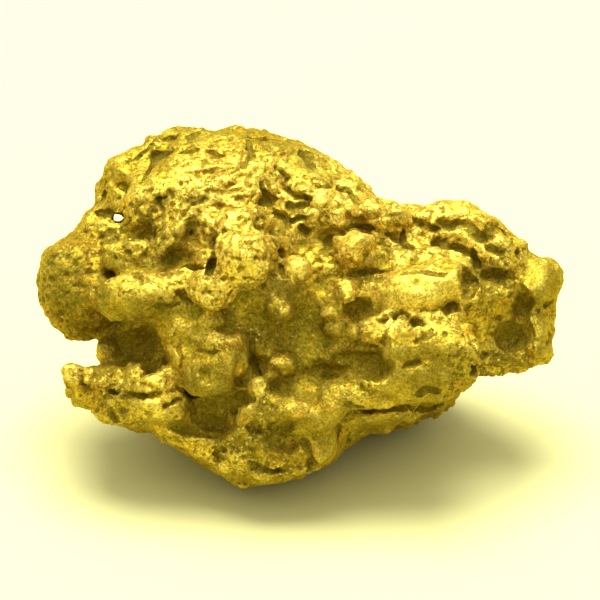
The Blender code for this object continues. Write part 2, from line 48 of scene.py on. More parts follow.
FACE_ORIGIN = Vector((0.0231, -0.6598, 8.8346))
FACE_TO_WORLD = Matrix.Translation(FACE_ORIGIN) @ Matrix.Rotation(FACE_LEAN, 4, "X")
MM = 0.001
BODY_GRAIN = 0.13
CLOSING = 0.2
FACE_SMOOTHING = 6
BROAD_SWELL = 0.13
SMALL_SWELL = 0.08
SHRINKING = 0.04
# Small pulls on the outline of the lump: where, how far round, and which way.
PULLS = (
    (-7.8, 8.0, 0.9, -0.25, 0.25), (-5.4, 8.9, 0.5, 0.0, -0.12), (-9.7, 6.4, 0.9, -0.6, 0.2),
    (-1.5, 8.7, 1.8, 0.05, 0.25), (-11.0, 4.1, 1.0, -0.15, 0.25), (8.6, 4.8, 1.4, 0.1, 0.25),
    (-12.3, -4.5, 0.6, 0.3, 0.0), (8.3, -5.1, 0.8, -0.3, 0.35), (2.3, 7.0, 0.9, -0.15, -0.22),
    (3.6, 5.7, 0.8, -0.2, -0.25), (13.1, 0.9, 0.9, 0.2, 0.0), (12.3, -3.5, 0.8, -0.1, 0.4),
    (10.3, -4.3, 1.1, 0.0, 0.45), (8.4, -4.7, 0.8, -0.15, 0.2), (-3.0, -9.4, 0.8, 0.0, 0.15),
    (-9.0, -6.3, 1.5, 0.0, 0.2), (-12.0, -4.7, 0.8, 0.25, 0.0), (-12.6, -1.3, 0.7, 0.2, 0.0),
    (-12.4, 2.6, 0.9, -0.2, 0.1), (-13.2, 0.0, 1.0, -0.18, 0.0), (-7.7, -7.0, 0.7, 0.1, 0.25),
    (6.4, -5.7, 0.6, -0.1, 0.35), (7.7, -4.4, 0.5, 0.15, -0.12), (-6.7, 8.5, 0.7, -0.1, 0.18),
)


def pick_only(obj):
    bpy.ops.object.select_all(action="DESELECT")
    obj.select_set(True)
    bpy.context.view_layer.objects.active = obj


def press(obj, kind, **settings):
    """Adds one modifier and applies it."""
    pick_only(obj)
    modifier = obj.modifiers.new(kind.title(), kind)
    for name, value in settings.items():
        setattr(modifier, name, value)
    bpy.ops.object.modifier_apply(modifier=modifier.name)


def fuse(obj, grain):
    press(obj, "REMESH", mode="VOXEL", voxel_size=grain, adaptivity=0.0)


def points_of(obj):
    flat = np.empty(len(obj.data.vertices) * 3, np.float32)
    obj.data.vertices.foreach_get("co", flat)
    return flat.reshape(-1, 3).astype(float)


def normals_of(obj):
    flat = np.empty(len(obj.data.vertices) * 3, np.float32)
    obj.data.vertex_normals.foreach_get("vector", flat)
    return flat.reshape(-1, 3).astype(float)


def set_points(obj, points):
    obj.data.vertices.foreach_set("co", points.astype(np.float32).ravel())
    obj.data.update()


def chance(cell, salt):
    """A repeatable number from 0 to 1 for each whole-number cell."""
    n = cell[..., 0] * 374761393 + cell[..., 1] * 668265263 + cell[..., 2] * 1440662683
    n = n + salt * 1274126177
    n = (n ^ (n >> 13)) & 0xFFFFFFFF
    n = (n * 1274126177) & 0xFFFFFFFF
    n = (n ^ (n >> 15)) & 0xFFFFFFFF
    n = (n * 2246822519) & 0xFFFFFFFF
    return ((n ^ (n >> 16)) & 0xFFFFFF) / 16777216.0


def soft_noise(points, grain, salt):
    """Smooth noise from -1 to 1."""
    scaled = points / grain
    cell = np.floor(scaled).astype(np.int64)
    part = scaled - cell
    part = part * part * (3.0 - 2.0 * part)
    x, y, z = part.T
    total = np.zeros(len(points))
    for dx, along_x in ((0, 1.0 - x), (1, x)):
        for dy, along_y in ((0, 1.0 - y), (1, y)):
            for dz, along_z in ((0, 1.0 - z), (1, z)):
                total += along_x * along_y * along_z * chance(cell + np.array([dx, dy, dz]), salt)
    return total * 2.0 - 1.0


def layered(points, grain, salt, layers, fade=0.5):
    """Smooth noise in layers, each half as coarse as the one before."""
    total = np.zeros(len(points))
    weight, whole = 1.0, 0.0
    for layer in range(layers):
        total += weight * soft_noise(points, grain * 0.5**layer, salt + layer)
        whole += weight
        weight *= fade
    return total / whole


# The solid's own mesh, copied, closed over its narrowest gaps, smoothed and swollen a little.
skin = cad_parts["gold_nugget"].copy()
skin.data = skin.data.copy()
skin.name = "nugget_skin"
skin.parent = None
for key in list(skin.keys()):
    del skin[key]
bpy.context.scene.collection.objects.link(skin)
pick_only(skin)
bpy.ops.object.mode_set(mode="EDIT")
bpy.ops.mesh.select_all(action="SELECT")
bpy.ops.mesh.remove_doubles(threshold=1e-7)
bpy.ops.object.mode_set(mode="OBJECT")
skin.data.transform(FACE_TO_WORLD.inverted() @ Matrix.Scale(1.0 / MM, 4))
fuse(skin, BODY_GRAIN)
press(skin, "DISPLACE", strength=CLOSING, mid_level=0.0)
fuse(skin, BODY_GRAIN)
press(skin, "DISPLACE", strength=-CLOSING, mid_level=0.0)
fuse(skin, BODY_GRAIN)
press(skin, "SMOOTH", factor=0.5, iterations=FACE_SMOOTHING)
body = points_of(skin)
swell = BROAD_SWELL * layered(body, 2.0, 51, 2) + SMALL_SWELL * soft_noise(body, 0.7, 55)
body = body + normals_of(skin) * (swell - SHRINKING)[:, None]
for x, y, reach, move_x, move_y in PULLS:
    weight = np.exp(-((body[:, 0] - x) ** 2 + (body[:, 1] - y) ** 2) / (reach * reach))
    body[:, 0] += move_x * weight
    body[:, 1] += move_y * weight
set_points(skin, body)

# -----------------------------------------------------------------------------
# The forms of the face. Lobes, knobs and curled sheets of the same metal that stand out of the
# lump, and the pockets between them that quartz once filled.
# -----------------------------------------------------------------------------
FORM_GRAIN = BODY_GRAIN * 0.8
KNOCK = 0.15
KNOCK_GRAIN = 0.9
CHIP = 0.09
CHIP_GRAIN = 0.4
# Each form is its centre, half sizes, turns and squareness. A tip of 32 degrees stands it
# upright as the nugget lies.
STANDING = (
    ((6.5, -2.85, 3.55), (2.35, 1.75, 1.35), (3, 32, 0), 0.55),
    ((4.4, -1.5, 3.7), (1.45, 0.5, 0.95), (0, 32, 0), 0.65),
    ((2.9, -4.75, 3.3), (2.1, 0.55, 1.0), (-4, 20, 0), 0.7),
    ((-0.2, 1.5, 4.55), (0.72, 0.62, 0.75), (-20, 0, 0), 0.9),
    ((2.5, 2.65, 3.3), (0.85, 0.55, 0.9), (10, 20, 0), 0.7),
    ((-4.5, -1.15, 3.2), (0.9, 0.75, 0.9), (0, 0, 0), 1.0),
    ((-6.0, -2.1, 2.6), (0.85, 1.4, 1.1), (15, 0, 0), 0.9),
    ((-6.2, -3.8, 2.6), (0.95, 0.6, 0.9), (0, 0, 0), 0.9),
    ((-5.7, -2.9, 3.2), (0.6, 0.7, 0.8), (0, 0, 0), 0.9),
    ((-4.6, -4.05, 3.6), (1.05, 0.9, 1.15), (0, 0, 0), 0.85),
    ((-3.95, -2.9, 3.5), (1.3, 0.95, 1.1), (0, 15, 0), 0.8),
    ((-3.1, 2.45, 4.0), (1.35, 1.0, 1.4), (25, 0, 0), 0.85),
    ((-3.0, 3.7, 3.0), (1.6, 1.0, 1.3), (10, 0, 0), 0.9),
    ((-1.9, 2.3, 3.9), (0.8, 1.0, 1.3), (0, 0, 0), 0.85),
    ((-4.4, 0.6, 3.9), (1.1, 1.0, 1.2), (-30, 0, 0), 0.8),
    ((-8.2, 2.1, 1.6), (1.6, 0.8, 1.2), (0, 0, 0), 0.8),
    ((-9.75, -2.55, -0.6), (0.45, 0.6, 0.8), (0, 0, 0), 0.8),
    ((-8.2, -3.75, 2.2), (0.5, 0.55, 1.2), (0, 0, 0), 0.7),
    ((-7.2, -4.25, 2.9), (1.2, 0.5, 0.9), (4, 0, 0), 0.8),
    ((4.0, 4.3, 0.8), (1.7, 0.7, 1.2), (-22, 0, 0), 0.8),
    ((2.3, 0.45, 3.6), (0.55, 0.6, 1.0), (10, 0, 0), 0.85),
    ((-1.0, -0.38, 3.45), (0.6, 0.45, 0.85), (-25, 0, 0), 0.65),
    ((1.35, -0.78, 3.3), (0.5, 0.13, 0.5), (-5, 0, 0), 0.9),
    ((1.6, -1.35, 2.5), (0.6, 0.4, 0.6), (0, 0, 0), 0.8),
    ((4.3, 3.05, 0.55), (1.1, 0.5, 1.0), (-10, 0, 0), 0.85),
    ((-0.85, -3.2, 3.5), (0.6, 0.32, 0.7), (-15, 0, 0), 0.65),
    ((-2.1, -4.7, 3.5), (0.5, 0.95, 0.9), (-15, 0, 0), 0.8),
    ((-0.6, -5.45, 4.2), (0.7, 0.45, 0.7), (-10, 0, 0), 0.85),
    ((6.0, -0.75, 3.4), (2.2, 0.45, 0.9), (2, 20, 0), 0.8),
    ((1.2, -5.6, 3.3), (1.1, 0.8, 1.1), (35, 0, 0), 0.9),
    ((0.9, -7.2, 2.3), (0.95, 1.1, 1.25), (-30, 0, 0), 0.95),
    ((-0.9, -8.35, 2.3), (1.6, 0.4, 0.8), (6, 0, 0), 0.8),
)
SUNK = (
    ((2.7, -3.25, 4.5), (1.5, 0.82, 2.1), (0, 0, 0), 0.45),
    ((2.9, -0.5, 4.2), (0.7, 0.65, 1.8), (0, 0, 0), 0.6),
    ((1.45, 2.7, 4.2), (0.45, 0.85, 1.6), (0, 0, 0), 0.7),
    ((3.65, 2.0, 4.3), (0.7, 0.55, 1.5), (-15, 0, 0), 0.7),
    ((-1.15, 1.4, 5.4), (0.4, 0.85, 1.7), (-10, 0, 0), 0.7),
    ((-3.2, -0.9, 4.9), (0.9, 0.75, 1.1), (0, 0, 0), 0.8),
    ((-4.3, -5.35, 4.5), (1.4, 0.7, 2.7), (4, 0, 0), 0.6),
    ((-5.4, -6.4, 3.7), (1.3, 0.4, 1.7), (-4, 0, 0), 0.7),
    ((-3.0, -5.0, 4.6), (0.8, 0.5, 2.2), (25, 0, 0), 0.7),
    ((-2.9, -4.6, 4.9), (0.4, 0.8, 1.6), (-25, 0, 0), 0.8),
    ((-2.3, -2.9, 4.6), (0.22, 1.1, 1.1), (5, 0, 0), 0.8),
    ((-7.8, -2.1, 2.6), (0.75, 1.0, 2.4), (12, 0, 0), 0.8),
    ((-1.15, -4.3, 4.4), (0.42, 0.5, 1.5), (0, 0, 0), 0.8),
    ((-1.1, -6.3, 4.1), (0.8, 0.4, 0.9), (10, 0, 0), 0.6),
    ((-0.4, -7.1, 3.9), (0.55, 0.45, 0.9), (-20, 0, 0), 0.7),
    ((-2.3, -6.4, 4.2), (0.3, 0.5, 0.8), (15, 0, 0), 0.7),
    ((-4.7, -3.6, 5.0), (0.2, 0.2, 0.5), (0, 0, 0), 0.9),
    ((-4.6, -4.05, 5.0), (0.2, 0.15, 0.5), (0, 0, 0), 0.9),
    ((10.6, -1.9, 1.3), (0.8, 0.8, 1.6), (25, 0, 0), 0.7),
    ((11.15, -0.4, 1.2), (0.42, 0.7, 1.2), (-15, 0, 0), 0.7),
    ((11.2, -1.6, 1.6), (0.45, 0.65, 1.3), (0, 0, 0), 0.8),
    ((10.85, -2.6, 1.5), (0.6, 0.5, 1.2), (-20, 0, 0), 0.8),
    ((8.4, 0.9, 3.5), (0.5, 0.85, 1.4), (0, 0, 0), 0.6),
    ((9.7, 1.3, 1.7), (0.7, 0.36, 1.1), (-5, 0, 0), 0.7),
    ((10.95, 0.6, 2.0), (0.4, 0.7, 1.1), (0, 0, 0), 0.8),
    ((-8.85, 5.65, 1.0), (0.36, 0.42, 1.0), (0, 0, 0), 0.7),
    ((-9.1, 4.1, 0.0), (0.34, 0.3, 9.0), (0, 0, 0), 0.8),
    ((-9.75, 4.35, 0.6), (0.4, 0.25, 1.0), (0, 0, 0), 0.9),
    ((-7.35, 3.15, 2.9), (0.35, 0.45, 1.0), (0, 0, 0), 0.9),
    ((-5.4, 3.5, 4.2), (0.65, 0.35, 1.1), (0, 0, 0), 0.7),
    ((-6.3, 2.25, 3.6), (0.75, 0.4, 1.1), (0, 0, 0), 0.7),
    ((-4.35, 2.2, 4.8), (0.22, 0.8, 0.9), (0, 0, 0), 0.8),
)


def triangles_of(obj):
    flat = np.empty(len(obj.data.polygons) * 3, np.int32)
    obj.data.polygons.foreach_get("vertices", flat)
    return flat.reshape(-1, 3)


def shaped(forms, salt):
    """One object of closed rounded forms, each knocked about a little."""
    bpy.ops.object.select_all(action="DESELECT")
    bpy.ops.mesh.primitive_ico_sphere_add(subdivisions=5, radius=1.0)
    ball = bpy.context.object
    unit = points_of(ball)
    faces = triangles_of(ball)
    bpy.data.objects.remove(ball)
    whole_points = []
    whole_faces = []
    for number, (centre, half, turns, square) in enumerate(forms):
        turn, tip, roll = (math.radians(angle) for angle in turns)
        spin = Matrix.Rotation(turn, 3, "Z") @ Matrix.Rotation(tip, 3, "X")
        spin = spin @ Matrix.Rotation(roll, 3, "Y")
        power = 2.0 / square
        reach = (np.abs(unit) ** power).sum(axis=1) ** (-1.0 / power)
        local = unit * reach[:, None] * np.array(half)
        moved = local @ np.array(spin).T + np.array(centre)
        knocks = KNOCK * soft_noise(moved, KNOCK_GRAIN, salt)
        knocks += CHIP * soft_noise(moved, CHIP_GRAIN, salt + 1)
        moved += (unit @ np.array(spin).T) * knocks[:, None]
        whole_points.append(moved)
        whole_faces.append(faces + number * len(unit))
    return loose_shapes(np.concatenate(whole_points), np.concatenate(whole_faces))


def loose_shapes(points, faces):
    """An object of closed shapes, given as points and triangles."""
    mesh = bpy.data.meshes.new("shapes")
    mesh.vertices.add(len(points))
    mesh.vertices.foreach_set("co", points.astype(np.float32).ravel())
    mesh.loops.add(len(faces) * 3)
    mesh.loops.foreach_set("vertex_index", faces.astype(np.int32).ravel())
    mesh.polygons.add(len(faces))
    mesh.polygons.foreach_set("loop_start", np.arange(0, len(faces) * 3, 3, dtype=np.int32))
    mesh.update(calc_edges=True)
    shapes = bpy.data.objects.new("shapes", mesh)
    bpy.context.scene.collection.objects.link(shapes)
    return shapes


def take_in(obj, shapes):
    """Joins the shapes to the object."""
    pick_only(obj)
    shapes.select_set(True)
    bpy.ops.object.join()


take_in(skin, shaped(STANDING, 201))
fuse(skin, FORM_GRAIN)
press(skin, "SMOOTH", factor=0.5, iterations=2)
cutter = shaped(SUNK, 211)
fuse(cutter, FORM_GRAIN)
press(skin, "BOOLEAN", operation="DIFFERENCE", solver="MANIFOLD", object=cutter)
bpy.data.objects.remove(cutter)
fuse(skin, FORM_GRAIN)
press(skin, "SMOOTH", factor=0.5, iterations=1)

# -----------------------------------------------------------------------------
# The flakes. Torn leaves and grains of gold that stand out of the lump all over, thickest where
# it is crumpled and few on its worn lobes. They are the same metal and grow out of the lump.
# -----------------------------------------------------------------------------
SKIN_GRAIN = 0.065
FLAKE_KINDS = 8
# How many, smallest and largest half size, thickness, sink and slant in degrees.
FLAKES = ((1500, 0.14, 0.34, 0.35, 0.4, 15), (5500, 0.08, 0.18, 0.5, 0.35, 22))
# How far the edges of a spot wander, and how coarsely.
SPOT_WANDER = 0.25
SPOT_GRAIN = 0.7
# Where the metal is torn into leaves, and where it is broken: centre, half sizes and turn.
TORN = (
    (-7.1, 3.2, 3.2, 0.9, 0), (-3.0, -7.0, 1.6, 1.0, -10), (-9.6, -4.1, 2.4, 0.7, -10),
    (-7.2, -4.1, 1.2, 0.7, 0), (10.0, -3.2, 1.4, 0.7, 20), (9.7, 0.7, 1.8, 0.7, 0),
    (4.8, -1.2, 2.6, 0.5, 0), (-1.9, -4.9, 0.6, 0.9, 20), (-0.5, -5.4, 0.8, 0.5, 0),
    (-0.9, -0.4, 0.6, 0.6, 0), (-0.9, -3.2, 0.7, 0.6, 0), (-0.8, -8.3, 2.0, 0.5, 8),
    (1.9, 2.0, 0.8, 0.8, 0), (-2.6, -1.7, 0.8, 0.4, 0), (2.8, -4.4, 1.4, 0.3, 0),
)
BROKEN = (
    (0.8, 5.2, 4.6, 3.2, -25), (-5.5, 6.2, 4.4, 2.6, 15), (8.6, 2.9, 3.0, 1.6, -20),
    (-7.1, 3.4, 3.6, 1.1, 0), (4.6, 3.0, 2.2, 1.4, -10), (3.2, 1.5, 1.4, 1.6, 0),
    (-1.6, 3.0, 1.6, 1.4, 0), (10.0, -2.8, 1.6, 1.2, 20), (0.8, 1.4, 1.6, 1.2, 0),
)


def ramp(value, low, high):
    """A soft step from 0 at low to 1 at high."""
    t = np.clip((value - low) / (high - low), 0.0, 1.0)
    return t * t * (3.0 - 2.0 * t)


def drift(points, grain, salt):
    """A smooth wandering offset for each point."""
    return np.stack([soft_noise(points, grain, salt + k) for k in range(3)], axis=1)


def patch(points, spots, soft=0.35):
    """1 inside any of the spots, 0 outside. A spot is its centre, half sizes and turn."""
    inside = np.zeros(len(points))
    ragged = points[:, :2] + SPOT_WANDER * drift(points, SPOT_GRAIN, 5)[:, :2]
    for x, y, half_x, half_y, turn in spots:
        angle = math.radians(turn)
        dx = ragged[:, 0] - x
        dy = ragged[:, 1] - y
        u = (dx * math.cos(angle) + dy * math.sin(angle)) / half_x
        v = (-dx * math.sin(angle) + dy * math.cos(angle)) / half_y
        inside = np.maximum(inside, 1.0 - ramp(np.sqrt(u * u + v * v), 1.0 - soft, 1.0 + soft))
    return inside


def flake_kinds(salt):
    """A few angular flakes, each one a knocked-about ball of half size 1."""
    pick_only(skin)
    bpy.ops.mesh.primitive_ico_sphere_add(subdivisions=1, radius=1.1)
    ball = bpy.context.object
    round_points = points_of(ball)
    faces = triangles_of(ball)
    bpy.data.objects.remove(ball)
    kinds = []
    for kind in range(FLAKE_KINDS):
        coarse = soft_noise(round_points * 1.7 + kind * 9.7, 1.0, salt)
        fine = soft_noise(round_points * 4.1 + kind * 3.3, 1.0, salt + 1)
        knocks = 0.5 * coarse + 0.3 * fine
        kinds.append(round_points * (1.0 + knocks[:, None]))
    return kinds, faces


def grow(obj, sets, weigh, seed):
    """Joins flakes to the object, each set its count, sizes, thickness, sink and slant."""
    rng = np.random.RandomState(seed)
    kinds, faces = flake_kinds(seed)
    mesh = obj.data
    count = len(mesh.polygons)
    centre = np.empty(count * 3, np.float32)
    facing = np.empty(count * 3, np.float32)
    area = np.empty(count, np.float32)
    mesh.polygons.foreach_get("center", centre)
    mesh.polygons.foreach_get("normal", facing)
    mesh.polygons.foreach_get("area", area)
    centre = centre.reshape(-1, 3).astype(float)
    facing = facing.reshape(-1, 3).astype(float)
    odds = area * weigh(centre, facing)
    odds = odds / odds.sum()
    all_points = []
    all_faces = []
    start = 0
    for number, low, high, flat, sink, slant in sets:
        where = rng.choice(count, number, p=odds)
        size = rng.uniform(low, high, number)
        long = size * rng.uniform(0.9, 1.7, number)
        thick = size * flat * rng.uniform(0.6, 1.4, number)
        normal = facing[where] + np.tan(math.radians(slant)) * rng.normal(0.0, 0.6, (number, 3))
        normal /= np.linalg.norm(normal, axis=1)[:, None]
        side = np.cross(normal, rng.normal(0.0, 1.0, (number, 3)))
        side /= np.linalg.norm(side, axis=1)[:, None]
        other = np.cross(normal, side)
        sunk = facing[where] * (thick * sink)[:, None]
        place = centre[where] + rng.normal(0.0, 0.03, (number, 3)) - sunk
        which = rng.randint(0, FLAKE_KINDS, number)
        for n in range(number):
            shape = kinds[which[n]]
            moved = (
                shape[:, :1] * long[n] * side[n]
                + shape[:, 1:2] * size[n] * other[n]
                + shape[:, 2:] * thick[n] * normal[n]
                + place[n]
            )
            all_points.append(moved)
            all_faces.append(faces + start)
            start += len(shape)
    take_in(obj, loose_shapes(np.concatenate(all_points), np.concatenate(all_faces)))


def flake_odds(points, facing):
    """How likely a flake is at each point, by the spots on the face and at random behind it."""
    front = ramp(facing[:, 2], -0.3, 0.1)
    wander = ramp(soft_noise(points, 2.2, 71), -0.2, 0.5)
    ahead = 0.06 + 1.3 * patch(points, TORN) + 0.10 * patch(points, BROKEN)
    behind = 0.04 + 0.7 * wander
    return front * ahead + (1.0 - front) * behind


grow(skin, FLAKES, flake_odds, 17)
fuse(skin, SKIN_GRAIN)

# -----------------------------------------------------------------------------
# The crevices. Seams and slots where the gold once grew round grains of quartz, now empty, and
# thin torn edges of the same metal that stand proud beside them.
# -----------------------------------------------------------------------------
LAID_STEP = 0.12
LAID_FROM = 20.0
LAID_BREAK = 0.9
WALL_MARGIN = 0.2
FINE_WANDER = 0.05
BROAD_WANDER = 0.06
WIDTH_WANDER = 0.5
# Each is its half width, its depth and its line over the face. A depth under zero is a ridge.
CREVICES = (
    (0.12, 0.5, ((-8.5, 6.9), (-8.15, 7.1), (-7.75, 7.5), (-7.4, 7.8))),
    (0.2, 0.5, ((-6.65, 8.05), (-6.15, 8.15))),
    (0.15, 0.5, ((-5.55, 8.15), (-5.2, 8.3))),
    (0.15, 0.6, ((-7.1, 7.2), (-7.4, 6.7), (-7.55, 6.4), (-7.7, 6.1), (-7.95, 5.85))),
    (0.15, 0.5, ((-7.25, 7.25), (-7.0, 7.35), (-6.5, 7.4))),
    (0.12, 0.4, ((-5.9, 7.4), (-5.5, 7.4), (-5.2, 7.55))),
    (0.15, 0.5, ((-4.4, 7.45), (-4.15, 7.25), (-3.8, 7.2))),
    (0.13, 0.5, ((-2.6, 8.1), (-1.85, 8.1), (-1.05, 8.0))),
    (0.12, 0.5, ((-2.55, 8.0), (-2.5, 7.5), (-2.35, 7.4), (-2.5, 7.1), (-2.85, 6.6))),
    (0.3, 0.5, ((0.15, 7.35), (0.4, 7.2), (0.45, 6.85), (0.6, 6.6))),
    (0.16, 0.5, ((-1.2, 6.6), (-0.85, 6.3), (-0.6, 6.05), (-0.8, 5.8), (-0.6, 5.4))),
    (0.13, 0.4, ((-0.6, 5.4), (-0.3, 5.2), (0.15, 5.1), (0.5, 5.05))),
    (0.12, 0.5, ((-1.9, 5.75), (-1.8, 5.35), (-1.6, 5.05), (-0.85, 5.0))),
    (0.22, 0.45, ((-1.5, 4.9), (-1.9, 4.85), (-1.95, 4.4), (-1.7, 4.1))),
    (0.14, 0.4, ((-2.0, 4.0), (-2.1, 3.7), (-1.95, 3.5))),
    (0.15, 0.5, ((-0.55, 4.85), (-0.25, 4.6), (0.0, 4.7), (0.2, 4.75))),
    (0.12, 0.5, ((-1.35, 4.35), (-0.9, 4.3), (-0.65, 4.05), (-0.5, 3.65))),
    (0.12, 0.5, ((-0.5, 3.95), (0.15, 4.05))),
    (0.08, 0.2, ((0.5, 4.6), (0.9, 4.45), (1.25, 4.2), (1.4, 4.1))),
    (0.12, 0.4, ((0.8, 5.8), (1.25, 5.65), (1.65, 5.65), (1.65, 5.9))),
    (0.16, 0.45, ((2.0, 5.6), (2.4, 5.45), (2.6, 5.2), (2.85, 4.9), (3.25, 5.1))),
    (0.16, 0.35, ((2.1, 3.3), (2.6, 3.6), (3.4, 3.7), (4.25, 3.4), (5.0, 3.0), (5.6, 2.6))),
    (0.16, 0.5, ((5.1, 3.3), (5.2, 2.9), (5.5, 2.6))),
    (0.16, 0.5, ((0.15, 3.65), (0.4, 3.3))),
    (0.15, 0.4, ((5.7, 4.0), (6.0, 3.8), (6.45, 3.6), (6.9, 3.6))),
    (0.18, 0.5, ((-9.8, 5.85), (-9.7, 5.5), (-9.85, 5.2))),
    (0.2, 0.5, ((-10.0, 4.35), (-9.65, 4.35), (-9.4, 4.25))),
    (0.14, 0.45, ((-5.9, 4.2), (-5.6, 4.5), (-5.3, 4.85), (-4.75, 5.15))),
    (0.11, 0.4, ((-6.7, 5.1), (-7.0, 5.0), (-6.9, 4.6))),
    (0.11, 0.35, ((-8.05, 4.6), (-8.0, 4.2))),
    (0.14, 0.7, ((-5.7, 1.7), (-5.0, 1.6), (-4.25, 1.65))),
    (0.18, 0.8, ((-4.3, 3.3), (-4.3, 2.6), (-4.25, 2.0), (-4.5, 1.5))),
    (0.2, 0.8, ((-1.2, 2.9), (-0.95, 2.3), (-0.85, 1.7), (-0.7, 1.2))),
    (0.16, 0.6, ((-5.9, 0.3), (-5.75, 0.0), (-5.45, -0.1))),
    (0.12, 0.4, ((-8.2, 1.4), (-7.9, 1.15), (-7.85, 0.85))),
    (0.12, 0.4, ((-7.2, -0.3), (-6.6, -0.35), (-6.0, -0.2))),
    (0.18, 0.6, ((6.65, 2.85), (7.25, 2.85), (8.1, 2.5), (8.5, 2.2), (9.0, 1.9))),
    (0.22, 0.5, ((8.1, 3.8), (8.5, 3.7), (8.6, 3.3), (8.9, 3.1), (9.5, 3.15))),
    (0.16, 0.6, ((7.0, 3.85), (7.5, 3.7), (7.9, 3.85))),
    (0.2, 0.5, ((9.75, 3.6), (10.1, 3.4))),
    (0.18, 0.5, ((9.45, 2.6), (10.1, 2.45))),
    (0.14, 0.4, ((11.0, 2.5), (11.0, 2.2))),
    (0.16, 0.5, ((10.05, 2.05), (10.3, 1.75))),
    (0.11, 0.35, ((5.0, 1.35), (5.75, 1.45), (6.5, 1.35), (7.2, 1.3))),
    (0.12, 0.5, ((2.5, 1.25), (3.2, 1.35), (4.4, 1.45))),
    (0.18, 0.7, ((4.1, -0.95), (4.5, -0.75), (5.0, -0.65), (5.5, -0.95), (5.8, -1.2))),
    (0.18, 0.8, ((5.7, -2.0), (6.1, -1.9), (6.5, -1.6))),
    (0.2, 0.5, ((7.2, -0.6), (7.5, -0.25), (7.8, -0.5))),
    (0.13, 0.4, ((5.1, -3.4), (5.4, -3.2), (5.85, -3.05))),
    (0.18, 0.5, ((5.9, -4.65), (6.2, -4.4), (6.8, -4.5))),
    (0.18, 0.9, ((2.4, -5.2), (3.2, -5.45), (4.3, -5.5), (5.2, -5.35), (6.1, -5.55))),
    (0.18, 0.8, ((6.0, -5.55), (6.4, -5.6), (7.0, -5.3))),
    (0.13, 0.6, ((8.55, -2.2), (8.8, -2.8), (8.8, -3.3), (8.6, -3.75))),
    (0.15, 0.4, ((12.3, -0.35), (12.6, -0.1))),
    (0.16, 0.4, ((12.4, -2.2), (12.5, -1.8))),
    (0.08, 0.4, ((-5.2, -2.5), (-4.6, -2.6), (-3.9, -2.5))),
    (0.12, 0.5, ((-6.05, -2.4), (-5.85, -2.9), (-5.95, -3.4))),
    (0.14, 0.4, ((-2.4, -2.0), (-2.3, -2.9), (-2.0, -3.8))),
    (0.10, 0.3, ((-9.5, -4.5), (-8.5, -4.7), (-7.4, -4.75), (-6.9, -4.6))),
    (0.15, 0.5, ((-10.95, -3.5), (-10.8, -4.2))),
    (0.15, 0.5, ((-10.1, -3.2), (-10.1, -3.8))),
    (0.12, 0.4, ((-9.4, -5.6), (-9.1, -6.1))),
    (0.13, 0.5, ((-6.7, -5.25), (-6.3, -5.1), (-5.9, -4.9))),
    (0.16, 0.5, ((1.95, -6.3), (1.85, -7.0))),
    (0.13, 0.5, ((2.5, -6.7), (2.35, -7.3))),
    (0.13, 0.5, ((-2.5, -8.1), (-2.0, -8.45), (-1.2, -8.6), (-0.5, -8.3))),
    (0.2, 0.6, ((0.2, -7.0), (0.45, -7.8), (0.6, -8.4))),
    (0.18, 0.4, ((-4.1, -7.75), (-3.95, -7.8))),
)
RIDGES = (
    (0.12, -0.35, ((2.5, -1.75), (3.4, -1.7), (4.1, -1.55), (4.5, -1.25), (5.0, -1.0))),
    (0.12, -0.35, ((5.0, -1.0), (5.4, -1.25), (5.8, -1.5), (6.4, -1.25), (7.0, -1.1))),
    (0.10, -0.40, ((-4.6, -1.25), (-4.1, -1.65), (-3.4, -1.85), (-2.7, -1.85))),
    (0.12, -0.30, ((0.9, -4.4), (1.8, -4.3), (2.5, -4.05), (3.1, -3.95), (3.8, -4.2), (4.3, -4.5))),
    (0.08, -0.40, ((0.9, -0.65), (1.3, -0.6), (1.8, -0.65))),
    (0.10, -0.40, ((10.0, -1.5), (10.6, -1.3), (11.0, -1.0))),
    (0.12, -0.25, ((-8.0, -5.2), (-7.2, -5.05), (-6.4, -4.8), (-5.9, -4.6))),
    (0.12, -0.25, ((1.9, 2.7), (2.6, 3.1), (3.4, 3.2))),
    (0.12, -0.25, ((2.2, 4.5), (3.0, 4.3), (3.9, 4.1), (4.6, 3.9))),
    (0.10, -0.25, ((2.3, 1.3), (3.2, 1.42), (4.4, 1.5), (5.6, 1.5), (6.8, 1.4))),
    (0.10, -0.25, ((-5.7, -4.4), (-5.0, -4.95), (-4.2, -4.95), (-3.6, -4.5))),
    (0.10, -0.25, ((-3.2, -8.2), (-2.0, -8.2), (-1.0, -8.1), (0.1, -8.0))),
)


def edges_of(obj):
    flat = np.empty(len(obj.data.edges) * 2, np.int32)
    obj.data.edges.foreach_get("vertices", flat)
    return flat.reshape(-1, 2)


def spread(values, edges, rounds):
    """Evens a value out over the skin, each round mixing every point with its neighbours."""
    count = len(values)
    a, b = edges[:, 0], edges[:, 1]
    share = np.bincount(a, minlength=count) + np.bincount(b, minlength=count)
    share = np.maximum(share, 1)
    columns = values.reshape(count, -1).copy()
    for _ in range(rounds):
        for c in range(columns.shape[1]):
            column = columns[:, c]
            total = np.bincount(a, column[b], count) + np.bincount(b, column[a], count)
            columns[:, c] = 0.5 * column + 0.5 * total / share
    return columns.reshape(values.shape)


